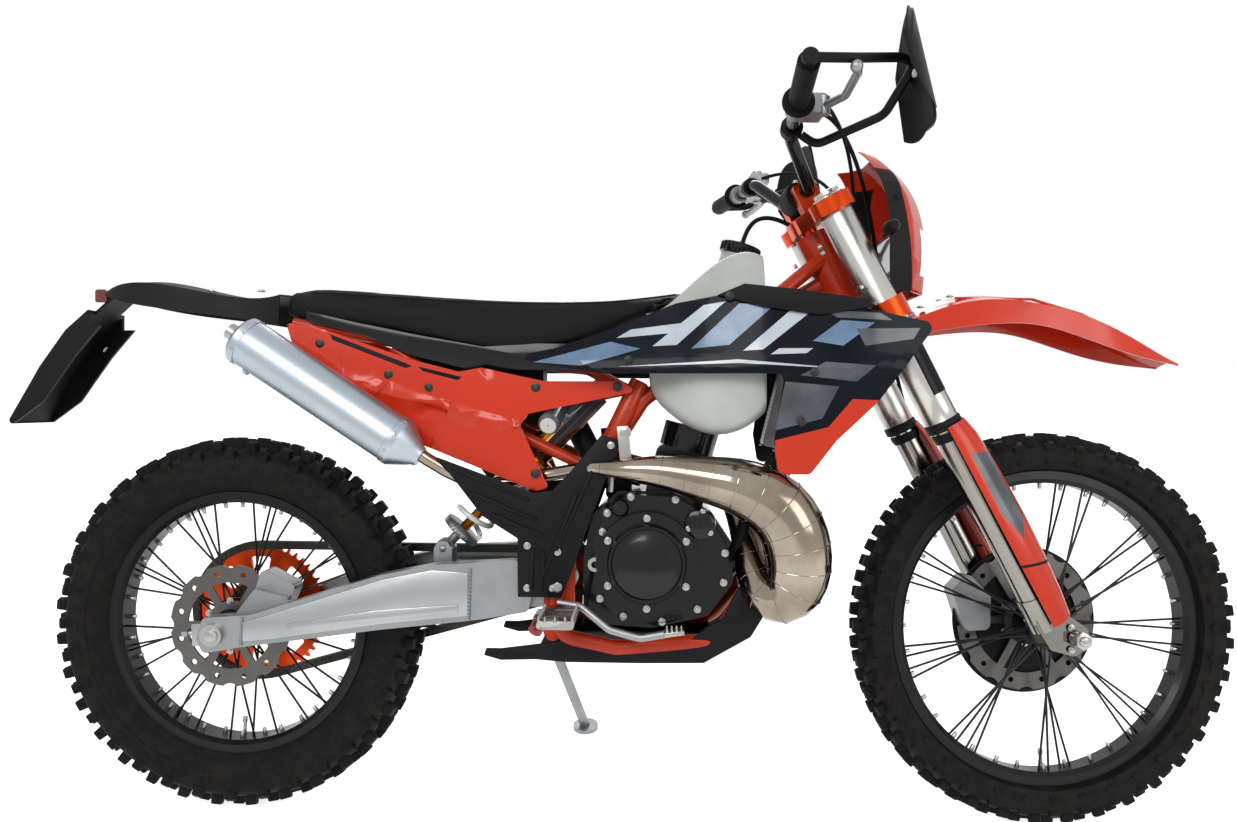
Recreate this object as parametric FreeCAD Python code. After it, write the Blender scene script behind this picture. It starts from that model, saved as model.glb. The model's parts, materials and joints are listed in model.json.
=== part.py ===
import FreeCAD, Part
import math, os

os.makedirs("parts", exist_ok=True)

# Enduro motorcycle, millimetres.
# Every piece is drawn on the upright bike: X forward, Y to its left, Z up,
# rear axle over x = 0, ground at z = 0, steering straight.
# At the end the fork is turned, the bike leans on its stand, and the origin
# goes to the middle of the base.

# Stance
WHEELBASE = 1460.0
LEAN_DEG = 11.6
STEER_DEG = 6.0
STEER_LIMIT = 40.0
RAKE_DEG = 27.1
HEAD_X = 1119.6
HEAD_Z = 900.0
RUN_GAP = 0.3
PIN_GAP = 0.05

# Wheels
REAR_TYRE_R = 339.0
REAR_TYRE_HALF = 64.0
REAR_SEAT_R = 228.6
REAR_RIM_HALF = 27.3
REAR_RIM_INNER_R = 219.0
REAR_RIM_INNER_HALF = 22.0
FRONT_TYRE_R = 347.0
FRONT_TYRE_HALF = 47.0
FRONT_SEAT_R = 266.7
FRONT_RIM_HALF = 20.3
FRONT_RIM_INNER_R = 256.0
FRONT_RIM_INNER_HALF = 16.0
FLANGE_HEIGHT = 11.0
FLANGE_WALL = 3.0
SPOKE_COUNT = 36
SPOKE_R = 2.0
TYRE_WALL = 9.0

# Hubs, discs and axles
REAR_AXLE_R = 12.5
REAR_HUB_R = 27.0
REAR_HUB_FLANGE_R = 46.0
REAR_HUB_FLANGE_Y = 32.0
REAR_HUB_RIGHT = 52.0
REAR_HUB_LEFT = 74.0
REAR_DISC_R = 110.0
REAR_DISC_INNER_R = 78.0
REAR_DISC_T = 4.0
FRONT_AXLE_R = 11.0
FRONT_HUB_R = 24.0
FRONT_HUB_FLANGE_R = 38.0
FRONT_HUB_FLANGE_Y = 26.0
FRONT_HUB_RIGHT = 46.0
FRONT_HUB_LEFT = 54.0
FRONT_DISC_R = 130.0
FRONT_DISC_INNER_R = 98.0
FRONT_DISC_T = 3.5
DISC_SEAT_R = 44.0
WAVE_COUNT = 12

# Chain drive
CHAIN_PITCH = 15.875
REAR_TEETH = 50
FRONT_TEETH = 13
SPROCKET_T = 6.0
SPROCKET_Y = REAR_HUB_LEFT + SPROCKET_T / 2
SHAFT_X = 668.0
SHAFT_Z = 430.0
ROLLER_R = 5.08
ROLLER_SEAT_GAP = 0.1
TOOTH_TIP = 4.0
TOOTH_OPEN = 6.7
CHAIN_PLATE_T = 2.6
CHAIN_PLATE_H = 15.0
CHAIN_PLATE_GAP = 1.4

# Steering and fork, measured along and across the steering axis
LEG_Y = 103.0
LEG_AHEAD = 22.0
FORK_TUBE_R = 29.0
STANCHION_R = 24.0
TUBE_TOP = 206.0
TUBE_BOTTOM = -238.0
UPPER_CLAMP_LOW = 174.0
UPPER_CLAMP_T = 26.0
LOWER_CLAMP_LOW = -34.0
LOWER_CLAMP_T = 36.0
CLAMP_WALL = 9.0
STEM_R = 15.0
HEAD_TUBE_R = 29.0
HEAD_TUBE_LOW = 9.0
HEAD_TUBE_TOP = 167.0
AXLE_LUG_R = 27.0

# Handlebar
BAR_X = 1022.0
BAR_Z = 1116.0
BAR_KNEE_X = 972.0
BAR_KNEE_Y = 145.0
BAR_KNEE_Z = 1181.0
BAR_END_X = 940.0
BAR_END_Y = 396.0
BAR_END_Z = 1201.0
BAR_R = 11.1
BAR_CENTRE_R = 14.3
BAR_CENTRE_HALF = 62.0
GRIP_R = 16.5
GRIP_LENGTH = 128.0
GRIP_FLANGE_R = 25.0
PERCH_Y = 248.0
MIRROR_HOLE_R = 4.25
MIRROR_HOLE_DEPTH = 22.0

# Frame
DOWN_TUBE_R = 19.0
CRADLE_TUBE_R = 13.0
CRADLE_Y = 101.0
PIVOT_X = 595.0
PIVOT_Z = 412.0
PIVOT_R = 9.0
SUBFRAME_TUBE_R = 10.0

# Radiators
RADIATOR_INNER = 84.0
RADIATOR_OUTER = 132.0
RADIATOR_STAYS = ((1024.0, 760.0), (1003.0, 690.0))
SHROUD_BOLTS = ((1002.0, 715.0), (1022.0, 795.0))

# Shock absorber
SHOCK_LOW = (388.0, -40.0, 484.0)
SHOCK_TOP = (668.0, -24.0, 772.0)
SHOCK_BOLT_R = 6.0
SPRING_FROM = 48.0
SPRING_TO = 222.0
SPRING_WIRE_R = 5.0
SPRING_R = 32.0

# Engine
CRANK_X = 768.0
CRANK_Z = 462.0
CYLINDER_TILT_DEG = 15.0
CYLINDER_HALF = 52.0
CYLINDER_BASE = 105.0
HEAD_JOINT = 205.0
HEAD_TOP = 248.0
CASE_RIGHT = 72.0
CASE_LEFT = 66.0
COVER_RIGHT = 146.0
COVER_LEFT = 108.0

# Number plate carrier
HOLDER_WALL = 6.0
PLATE_CENTRE = (-381.0, 757.0)
PLATE_NORMAL = (-0.8606, 0.5093)
PLATE_BOLT_SPACING = 70.0
PLATE_BOLT_R = 3.2

# Side stand
STAND_PIVOT = (545.0, 112.0, 322.0)
STAND_FOOT = (619.0, 265.0, 56.0)
STAND_FOLDED = (-0.95, 0.28, 0.14)
STAND_FOLD_DEG = 98.0
STAND_PIN_R = 6.0
STAND_FOOT_T = 8.0
STAND_SOLE_R = 26.0
STAND_LEG_R = 10.0
STAND_EYE_R = 17.0
STAND_EYE_HALF = 8.0


def V(x, y, z):
    return FreeCAD.Vector(x, y, z)


# Drawing helpers

def corner_arc(before, corner, after, radius):
    """Start, middle and end of the arc that rounds one corner."""
    u = (before - corner)
    w = (after - corner)
    reach = 0.45 * min(u.Length, w.Length)
    u.normalize()
    w.normalize()
    half = u.getAngle(w) / 2
    setback = min(radius / math.tan(half), reach)
    radius = setback * math.tan(half)
    middle = u + w
    middle.normalize()
    return (
        corner + u * setback,
        corner + middle * (radius / math.sin(half) - radius),
        corner + w * setback,
    )


def rounded_wire(points, radius, closed=True):
    """Straight runs joined by tangent arcs."""
    count = len(points)
    arcs = []
    for i, corner in enumerate(points):
        if not closed and i in (0, count - 1):
            arcs.append((corner, None, corner))
            continue
        arcs.append(corner_arc(points[i - 1], corner, points[(i + 1) % count], radius))
    edges = []
    for i, (start, middle, end) in enumerate(arcs):
        if middle is not None:
            edges.append(Part.Arc(start, middle, end).toShape())
        if closed or i < count - 1:
            edges.append(Part.makeLine(end, arcs[(i + 1) % count][0]))
    return Part.Wire(edges)


def polygon(points):
    return Part.makePolygon(list(points) + [points[0]])


def plate(outline, y0, y1, radius=0.0):
    """Side-view outline of (x, z) points, thick from y0 to y1."""
    points = [V(x, y0, z) for x, z in outline]
    wire = rounded_wire(points, radius) if radius else polygon(points)
    return Part.Face(wire).extrude(V(0, y1 - y0, 0))


def rod(start, end, radius):
    a, b = V(*start), V(*end)
    return Part.makeCylinder(radius, (b - a).Length, a, b - a)


def cone(start, end, r0, r1):
    a, b = V(*start), V(*end)
    return Part.makeCone(r0, r1, (b - a).Length, a, b - a)


def ring(start, end, outer, inner):
    return rod(start, end, outer).cut(rod(start, end, inner))


def tube(points, radius, bend):
    """Round bar along straight runs joined by bends."""
    path = [V(*p) for p in points]
    wire = rounded_wire(path, bend, closed=False)
    section = Part.Wire(Part.makeCircle(radius, path[0], path[1] - path[0]))
    return wire.makePipeShell([section], True, True)


def block(x0, x1, y0, y1, z0, z1):
    return Part.makeBox(x1 - x0, y1 - y0, z1 - z0, V(x0, y0, z0))


def rounded_block(x0, x1, y0, y1, z0, z1, radius):
    return plate([(x0, z0), (x1, z0), (x1, z1), (x0, z1)], y0, y1, radius)


def fused(shapes):
    shapes = list(shapes)
    if len(shapes) == 1:
        return shapes[0]
    return shapes[0].fuse(shapes[1:]).removeSplitter()


def mirrored(shape):
    return shape.mirror(V(0, 0, 0), V(0, 1, 0))


def both_sides(shape):
    return [shape, mirrored(shape)]


def spun(profile):
    """Closed (y, radius) profile turned about the Y axis; the step
    ("arc", middle, end) draws an arc."""
    edges = []
    here = profile[0]
    for step in list(profile[1:]) + [profile[0]]:
        if step[0] == "arc":
            middle, end = step[1], step[2]
            edges.append(Part.Arc(
                V(0, here[0], here[1]), V(0, middle[0], middle[1]), V(0, end[0], end[1])
            ).toShape())
            here = end
        elif step != here:
            edges.append(Part.makeLine(V(0, here[0], here[1]), V(0, step[0], step[1])))
            here = step
    return Part.Face(Part.Wire(edges)).revolve(V(0, 0, 0), V(0, 1, 0), 360)


def around_y(shape, count, phase=0.0):
    copies = []
    for i in range(count):
        copy = shape.copy()
        copy.rotate(V(0, 0, 0), V(0, 1, 0), phase + 360.0 * i / count)
        copies.append(copy)
    return copies


def loft(wires, ruled=False):
    return Part.makeLoft(wires, True, ruled)


def smooth_points(points, steps):
    """Points and radii along a smooth curve through the given ones."""
    out = []
    last = len(points) - 1
    for i in range(last):
        p0 = points[max(i - 1, 0)]
        p1, p2 = points[i], points[i + 1]
        p3 = points[min(i + 2, last)]
        for k in range(steps):
            t = k / steps
            out.append(tuple(
                0.5 * (2 * b + (c - a) * t + (2 * a - 5 * b + 4 * c - d) * t * t
                       + (3 * b - a - 3 * c + d) * t ** 3)
                for a, b, c, d in zip(p0, p1, p2, p3)
            ))
    out.append(tuple(points[last]))
    return out


def swollen_tube(points, steps=2):
    """Round tube whose radius changes along a curve of (x, y, z, r)."""
    path = smooth_points(points, steps)
    wires = []
    for i, (x, y, z, r) in enumerate(path):
        ahead = path[min(i + 1, len(path) - 1)]
        behind = path[max(i - 1, 0)]
        direction = V(*ahead[:3]) - V(*behind[:3])
        wires.append(Part.Wire(Part.makeCircle(r, V(x, y, z), direction)))
    return loft(wires)


# Placements

def head_placement(turn_deg=0.0):
    """From the steering axis frame (x ahead, z up the axis) to the bike."""
    tilt = FreeCAD.Rotation(V(0, 1, 0), -RAKE_DEG)
    turn = FreeCAD.Rotation(V(0, 0, 1), turn_deg)
    return FreeCAD.Placement(V(HEAD_X, 0, HEAD_Z), tilt.multiply(turn))


def to_head(shape):
    shape = shape.copy()
    shape.Placement = head_placement().multiply(shape.Placement)
    return shape


def head_point(ahead, y, up):
    p = head_placement().multVec(V(ahead, y, up))
    return (p.x, p.y, p.z)


def at_wheel(shape, x, z):
    shape = shape.copy()
    shape.translate(V(x, 0, z))
    return shape


def axle_in_head():
    p = head_placement().inverse().multVec(V(WHEELBASE, 0, FRONT_TYRE_R))
    return p.x, p.z


# Wheels

def tyre(tip_r, half, seat_r, rim_half):
    lip = seat_r + FLANGE_HEIGHT + 2
    belly = (seat_r + tip_r) / 2
    side = half - 7
    shoulder = tip_r - 0.32 * (tip_r - seat_r)
    inner_top = tip_r - 15 - TYRE_WALL
    outer = [
        (rim_half, seat_r),
        (rim_half, lip),
        ("arc", (side - 5, (lip + belly) / 2), (side, belly)),
        (half, shoulder),
        (half - 9, tip_r - 16),
        ("arc", (0, tip_r), (9 - half, tip_r - 16)),
        (-half, shoulder),
        (-side, belly),
        ("arc", (5 - side, (lip + belly) / 2), (-rim_half, lip)),
        (-rim_half, seat_r),
        (TYRE_WALL - rim_half - 1, seat_r),
        (TYRE_WALL - rim_half - 1, lip),
        (TYRE_WALL - side, belly),
        ("arc", (0, inner_top), (side - TYRE_WALL, belly)),
        (rim_half + 1 - TYRE_WALL, lip),
        (rim_half + 1 - TYRE_WALL, seat_r),
    ]
    return spun(outer)


def rim(seat_r, rim_half, inner_r, inner_half):
    edge = rim_half + FLANGE_WALL
    well = inner_half - 10
    floor = inner_r + 3.5
    return spun([
        (edge, seat_r + FLANGE_HEIGHT),
        (rim_half, seat_r + FLANGE_HEIGHT),
        (rim_half, seat_r),
        (well + 4, seat_r),
        (well, floor),
        (-well, floor),
        (-well - 4, seat_r),
        (-rim_half, seat_r),
        (-rim_half, seat_r + FLANGE_HEIGHT),
        (-edge, seat_r + FLANGE_HEIGHT),
        (-edge, seat_r - 3),
        (-inner_half, inner_r),
        (inner_half, inner_r),
        (edge, seat_r - 3),
    ])


def spokes(hub_r, hub_y, rim_r, turn_deg):
    """Half of them on each side, leaning forward and back in turn."""
    out = []
    for i in range(SPOKE_COUNT):
        side = 1 if i % 2 else -1
        lean = turn_deg if (i // 2) % 2 else -turn_deg
        foot = 2 * math.pi * i / SPOKE_COUNT
        tip = foot + math.radians(lean)
        out.append(rod(
            (hub_r * math.cos(foot), side * hub_y, hub_r * math.sin(foot)),
            (rim_r * math.cos(tip), side * 5.0, rim_r * math.sin(tip)),
            SPOKE_R,
        ))
    return out


def rear_hub():
    bore = REAR_AXLE_R + PIN_GAP
    return spun([
        (-REAR_HUB_RIGHT, bore),
        (-REAR_HUB_RIGHT, DISC_SEAT_R),
        (-REAR_HUB_RIGHT + 7, DISC_SEAT_R),
        (-REAR_HUB_FLANGE_Y - 4, REAR_HUB_R),
        (-REAR_HUB_FLANGE_Y - 3, REAR_HUB_FLANGE_R),
        (-REAR_HUB_FLANGE_Y + 3, REAR_HUB_FLANGE_R),
        (-REAR_HUB_FLANGE_Y + 5, REAR_HUB_R),
        (REAR_HUB_FLANGE_Y - 5, REAR_HUB_R),
        (REAR_HUB_FLANGE_Y - 3, REAR_HUB_FLANGE_R),
        (REAR_HUB_FLANGE_Y + 3, REAR_HUB_FLANGE_R),
        (REAR_HUB_LEFT - 14, DISC_SEAT_R),
        (REAR_HUB_LEFT - 10, REAR_HUB_FLANGE_R + 14),
        (REAR_HUB_LEFT, REAR_HUB_FLANGE_R + 14),
        (REAR_HUB_LEFT, bore),
    ])


def front_hub():
    bore = FRONT_AXLE_R + PIN_GAP
    return spun([
        (-FRONT_HUB_RIGHT, bore),
        (-FRONT_HUB_RIGHT, FRONT_HUB_R - 3),
        (-FRONT_HUB_FLANGE_Y - 4, FRONT_HUB_R),
        (-FRONT_HUB_FLANGE_Y - 3, FRONT_HUB_FLANGE_R),
        (-FRONT_HUB_FLANGE_Y + 3, FRONT_HUB_FLANGE_R),
        (-FRONT_HUB_FLANGE_Y + 5, FRONT_HUB_R - 4),
        (FRONT_HUB_FLANGE_Y - 5, FRONT_HUB_R - 4),
        (FRONT_HUB_FLANGE_Y - 3, FRONT_HUB_FLANGE_R),
        (FRONT_HUB_FLANGE_Y + 3, FRONT_HUB_FLANGE_R),
        (FRONT_HUB_FLANGE_Y + 5, FRONT_HUB_R),
        (FRONT_HUB_LEFT - 7, DISC_SEAT_R),
        (FRONT_HUB_LEFT, DISC_SEAT_R),
        (FRONT_HUB_LEFT, bore),
    ])


def rear_rim():
    parts = [rim(REAR_SEAT_R, REAR_RIM_HALF, REAR_RIM_INNER_R, REAR_RIM_INNER_HALF), rear_hub()]
    parts += spokes(REAR_HUB_FLANGE_R - 4, REAR_HUB_FLANGE_Y, REAR_RIM_INNER_R + 2, 16)
    return at_wheel(fused(parts), 0, REAR_TYRE_R)


def front_rim():
    parts = [rim(FRONT_SEAT_R, FRONT_RIM_HALF, FRONT_RIM_INNER_R, FRONT_RIM_INNER_HALF), front_hub()]
    parts += spokes(FRONT_HUB_FLANGE_R - 4, FRONT_HUB_FLANGE_Y, FRONT_RIM_INNER_R + 2, 12)
    return at_wheel(fused(parts), WHEELBASE, FRONT_TYRE_R)


def rear_tyre():
    shape = tyre(REAR_TYRE_R, REAR_TYRE_HALF, REAR_SEAT_R, REAR_RIM_HALF)
    return at_wheel(shape, 0, REAR_TYRE_R)


def front_tyre():
    shape = tyre(FRONT_TYRE_R, FRONT_TYRE_HALF, FRONT_SEAT_R, FRONT_RIM_HALF)
    return at_wheel(shape, WHEELBASE, FRONT_TYRE_R)


def wave_disc(outer, inner, y0, thickness):
    """Brake disc with a scalloped edge, cooling slots and six arms."""
    y1 = y0 + thickness
    band = ring((0, y0, 0), (0, y1, 0), outer, inner)
    bite = rod((outer + 12, y0, 0), (outer + 12, y1, 0), 18)
    slot = rod(((outer + inner) / 2, y0, 0), ((outer + inner) / 2, y1, 0), 5)
    band = band.cut(around_y(bite, WAVE_COUNT) + around_y(slot, WAVE_COUNT, 180 / WAVE_COUNT))
    arm = block(DISC_SEAT_R - 8, inner + 4, y0, y1, -7, 7)
    centre = ring((0, y0, 0), (0, y1, 0), DISC_SEAT_R, DISC_SEAT_R - 14)
    return fused([band, centre] + around_y(arm, 6))


def rear_disc():
    shape = wave_disc(REAR_DISC_R, REAR_DISC_INNER_R, -REAR_HUB_RIGHT - REAR_DISC_T, REAR_DISC_T)
    return at_wheel(shape, 0, REAR_TYRE_R)


def front_disc():
    shape = wave_disc(FRONT_DISC_R, FRONT_DISC_INNER_R, FRONT_HUB_LEFT, FRONT_DISC_T)
    return at_wheel(shape, WHEELBASE, FRONT_TYRE_R)


def pitch_radius(teeth):
    return CHAIN_PITCH / (2 * math.sin(math.pi / teeth))


def toothed_ring(teeth, y0, y1, inner):
    """Sprocket: a round roller seat between each pair of tapering teeth."""
    radius = pitch_radius(teeth)
    seat_r = ROLLER_R + ROLLER_SEAT_GAP

    def point(angle, out, across):
        r = radius + out
        return V(r * math.cos(angle) - across * math.sin(angle), y0,
                 r * math.sin(angle) + across * math.cos(angle))

    edges = []
    for i in range(teeth):
        angle = 2 * math.pi * (i + 0.5) / teeth
        following = angle + 2 * math.pi / teeth
        low, high = point(angle, 0, -seat_r), point(angle, 0, seat_r)
        tip, next_tip = point(angle, TOOTH_TIP, TOOTH_OPEN), point(following, TOOTH_TIP, -TOOTH_OPEN)
        edges.append(Part.Arc(low, point(angle, -seat_r, 0), high).toShape())
        edges.append(Part.makeLine(high, tip))
        edges.append(Part.makeLine(tip, next_tip))
        edges.append(Part.makeLine(next_tip, point(following, 0, -seat_r)))
    gear = Part.Face(Part.Wire(edges)).extrude(V(0, y1 - y0, 0))
    return gear.cut(rod((0, y0, 0), (0, y1, 0), inner))


def sprocket():
    y0 = REAR_HUB_LEFT
    y1 = y0 + SPROCKET_T
    gear = toothed_ring(REAR_TEETH, y0, y1, REAR_HUB_FLANGE_R - 10)
    window = plate([(66, -13), (104, -20), (104, 20), (66, 13)], y0, y1, 6)
    gear = gear.cut(around_y(window, 8))
    return at_wheel(gear, 0, REAR_TYRE_R)


# Chain

def belt_outline(grow, y0, y1):
    """Band round both sprockets, moved out from the pitch line by grow."""
    big = pitch_radius(REAR_TEETH) + grow
    small = pitch_radius(FRONT_TEETH) + grow
    dx, dz = SHAFT_X, SHAFT_Z - REAR_TYRE_R
    length = math.hypot(dx, dz)
    tilt = math.atan2(dz, dx)
    spread = math.acos((big - small) / length)
    points = []
    for sign in (1, -1):
        angle = tilt + sign * spread
        points.append((
            (big * math.cos(angle), REAR_TYRE_R + big * math.sin(angle)),
            (dx + small * math.cos(angle), SHAFT_Z + small * math.sin(angle)),
        ))
    (top_rear, top_front), (low_rear, low_front) = points
    rear = (-big * math.cos(tilt), REAR_TYRE_R - big * math.sin(tilt))
    front = (dx + small * math.cos(tilt), SHAFT_Z + small * math.sin(tilt))
    flat = lambda p: V(p[0], y0, p[1])
    wire = Part.Wire([
        Part.Arc(flat(low_rear), flat(rear), flat(top_rear)).toShape(),
        Part.makeLine(flat(top_rear), flat(top_front)),
        Part.Arc(flat(top_front), flat(front), flat(low_front)).toShape(),
        Part.makeLine(flat(low_front), flat(low_rear)),
    ])
    return Part.Face(wire).extrude(V(0, y1 - y0, 0)), (top_rear, top_front, low_rear, low_front)


def chain_sides():
    near = SPROCKET_T / 2 + CHAIN_PLATE_GAP
    return (SPROCKET_Y - near - CHAIN_PLATE_T, SPROCKET_Y + near)


def drive_chain():
    """Link plates beside the teeth, with the rollers of the straight runs."""
    half = CHAIN_PLATE_H / 2
    bands = []
    for y0 in chain_sides():
        outer, ends = belt_outline(half, y0, y0 + CHAIN_PLATE_T)
        inner, ends = belt_outline(-half, y0, y0 + CHAIN_PLATE_T)
        bands.append(outer.cut(inner))
    low, high = chain_sides()
    pins = []
    line, ends = belt_outline(0, low, high)
    for start, end in ((ends[0], ends[1]), (ends[2], ends[3])):
        count = 12
        for i in range(2, count - 1):
            t = i / count
            x = start[0] + (end[0] - start[0]) * t
            z = start[1] + (end[1] - start[1]) * t
            pins.append(rod((x, low, z), (x, high + CHAIN_PLATE_T, z), ROLLER_R))
    for i in range(FRONT_TEETH):
        angle = 2 * math.pi * (i + 0.5) / FRONT_TEETH
        if math.cos(angle) > 0.1:
            x = SHAFT_X + pitch_radius(FRONT_TEETH) * math.cos(angle)
            z = SHAFT_Z + pitch_radius(FRONT_TEETH) * math.sin(angle)
            pins.append(rod((x, low, z), (x, high + CHAIN_PLATE_T, z), ROLLER_R))
    return fused(bands + pins)


# Fork and steering, drawn in the steering axis frame

def leg_point(side, up, ahead=LEG_AHEAD):
    return (ahead, side * LEG_Y, up)


def fork_upper_tubes():
    parts = []
    for side in (1, -1):
        outer = rod(leg_point(side, TUBE_BOTTOM), leg_point(side, TUBE_TOP), FORK_TUBE_R)
        seal = rod(leg_point(side, TUBE_BOTTOM), leg_point(side, TUBE_BOTTOM + 16), FORK_TUBE_R + 2)
        cap = rod(leg_point(side, TUBE_TOP), leg_point(side, TUBE_TOP + 7), FORK_TUBE_R - 6)
        bore = rod(leg_point(side, TUBE_BOTTOM), leg_point(side, TUBE_BOTTOM + 50), STANCHION_R)
        parts.append(to_head(fused([outer, seal, cap]).cut(bore)))
    return Part.makeCompound(parts)


def fork_lower_legs():
    ahead, up = axle_in_head()
    parts = []
    for side in (1, -1):
        inner, outer = 80.0, 124.0
        y0, y1 = (inner, outer) if side > 0 else (-outer, -inner)
        slider = rod(leg_point(side, up + 60), leg_point(side, TUBE_BOTTOM + 45), STANCHION_R)
        sleeve = rod(leg_point(side, up + 34), leg_point(side, up + 92), AXLE_LUG_R)
        lug = plate([
            (LEG_AHEAD - 24, up + 60), (LEG_AHEAD - 20, up + 4), (ahead - 18, up - 24),
            (ahead + 14, up - 22), (ahead + 24, up + 6), (LEG_AHEAD + 24, up + 60),
        ], y0, y1, 12)
        hole = rod((ahead, y0, up), (ahead, y1, up), FRONT_AXLE_R)
        parts.append(to_head(fused([slider, sleeve, lug]).cut(hole)))
    return Part.makeCompound(parts)


def legs_and_axle():
    return Part.makeCompound([fork_lower_legs(), front_axle()])


def front_axle():
    centre = (WHEELBASE, FRONT_TYRE_R)
    x, z = centre
    shaft = rod((x, -132, z), (x, 128, z), FRONT_AXLE_R)
    nut = ring((x, 124, z), (x, 134, z), 17, FRONT_AXLE_R)
    right = ring((x, -80, z), (x, -FRONT_HUB_RIGHT - RUN_GAP, z), 17, FRONT_AXLE_R)
    left = ring((x, FRONT_HUB_LEFT + RUN_GAP, z), (x, 80, z), 17, FRONT_AXLE_R)
    return fused([shaft, nut, right, left])


def clamp(low, thickness, back):
    """Triple clamp: a ring at each leg, the stem boss and webs between."""
    top = low + thickness
    parts = []
    for side in (1, -1):
        parts.append(rod(leg_point(side, low), leg_point(side, top), FORK_TUBE_R + CLAMP_WALL))
    parts.append(rod((0, 0, low), (0, 0, top), STEM_R + 13))
    web = Part.Face(rounded_wire([
        V(44, -70, low), V(36, 0, low), V(44, 70, low), V(30, 104, low),
        V(0, 92, low), V(back, 34, low), V(back, -34, low), V(0, -92, low), V(30, -104, low),
    ], 10)).extrude(V(0, 0, thickness))
    parts.append(web)
    shape = fused(parts)
    for side in (1, -1):
        shape = shape.cut(rod(leg_point(side, low), leg_point(side, top), FORK_TUBE_R))
    return shape


def triple_clamps():
    lower = clamp(LOWER_CLAMP_LOW, LOWER_CLAMP_T, -24)
    upper = clamp(UPPER_CLAMP_LOW, UPPER_CLAMP_T, -24)
    top = UPPER_CLAMP_LOW + UPPER_CLAMP_T
    stem = rod((0, 0, LOWER_CLAMP_LOW + 1), (0, 0, top + 2), STEM_R)
    nut = rod((0, 0, top), (0, 0, top + 4), STEM_R + 4)
    bar = head_placement().inverse().multVec(V(BAR_X, 0, BAR_Z))
    risers = []
    for side in (1, -1):
        y0 = side * 44 - 13
        risers.append(plate([
            (bar.x - 21, top - 2), (bar.x + 21, top - 2),
            (bar.x + 20, bar.z + 16), (bar.x - 20, bar.z + 16),
        ], y0, y0 + 26, 6))
    shape = fused([lower, upper, stem, nut] + risers)
    bore = rod((bar.x, -60, bar.z), (bar.x, 60, bar.z), BAR_CENTRE_R)
    return to_head(shape.cut(bore))


def bar_end_point(y):
    """Point on the straight outer part of the right-hand side, |y| given."""
    t = (y - BAR_KNEE_Y) / (BAR_END_Y - BAR_KNEE_Y)
    return (
        BAR_KNEE_X + (BAR_END_X - BAR_KNEE_X) * t,
        y,
        BAR_KNEE_Z + (BAR_END_Z - BAR_KNEE_Z) * t,
    )


def handlebar():
    middle = rod((BAR_X, -BAR_CENTRE_HALF, BAR_Z), (BAR_X, BAR_CENTRE_HALF, BAR_Z), BAR_CENTRE_R)
    arm = tube([
        (BAR_X, BAR_CENTRE_HALF - 10, BAR_Z),
        (BAR_X, BAR_CENTRE_HALF + 12, BAR_Z),
        (BAR_KNEE_X, BAR_KNEE_Y, BAR_KNEE_Z),
        (BAR_END_X, BAR_END_Y, BAR_END_Z),
    ], BAR_R, 40)
    return fused([middle] + both_sides(arm))


def bar_pad():
    pad = rod((BAR_X, -29, BAR_Z), (BAR_X, 29, BAR_Z), 29)
    return pad.cut(rod((BAR_X, -30, BAR_Z), (BAR_X, 30, BAR_Z), BAR_CENTRE_R))


def grip_pair():
    start = bar_end_point(BAR_END_Y - 2 - GRIP_LENGTH)
    end = bar_end_point(BAR_END_Y - 2)
    flange = bar_end_point(BAR_END_Y - 2 - GRIP_LENGTH + 5)
    sleeve = rod(start, end, GRIP_R).fuse(rod(start, flange, GRIP_FLANGE_R))
    sleeve = sleeve.cut(rod(start, end, BAR_R))
    return Part.makeCompound(both_sides(sleeve))


def grips_and_pad():
    return Part.makeCompound([grip_pair(), bar_pad()])


def perch(y):
    """Lever perch round the bar with its master cylinder and lever."""
    start, end = bar_end_point(y - 14), bar_end_point(y + 14)
    x, yy, z = bar_end_point(y)
    collar = rod(start, end, BAR_R + 6)
    body = rounded_block(x + 8, x + 44, y - 30, y + 16, z - 12, z + 14, 5)
    cup = rounded_block(x + 12, x + 50, y - 62, y - 8, z + 6, z + 28, 5)
    pivot = rod((x + 40, y + 10, z - 14), (x + 40, y + 10, z + 14), 9)
    blade = tube([
        (x + 40, y + 10, z), (x + 58, y + 60, z - 2), (x + 52, y + 140, z), (x + 44, y + 160, z),
    ], 6.5, 30)
    ball = Part.makeSphere(9, V(x + 44, y + 160, z))
    shape = fused([collar, body, cup, pivot, blade, ball])
    shape = shape.cut(rod(bar_end_point(y - 70), bar_end_point(y + 40), BAR_R))
    mx, my, mz = mirror_boss_top(1)
    boss = rod((mx, my, mz - MIRROR_HOLE_DEPTH - 6), (mx, my, mz), MIRROR_HOLE_R + 5)
    hole = rod((mx, my, mz - MIRROR_HOLE_DEPTH), (mx, my, mz + 5), MIRROR_HOLE_R)
    return shape.fuse(boss).removeSplitter().cut(hole)


def mirror_boss_top(side):
    """Mouth of the mirror thread on one lever perch."""
    x, y, z = bar_end_point(PERCH_Y - 46)
    return (x + 22, side * y, z + 38)


def levers():
    left = perch(PERCH_Y)
    return Part.makeCompound(both_sides(left))


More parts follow.
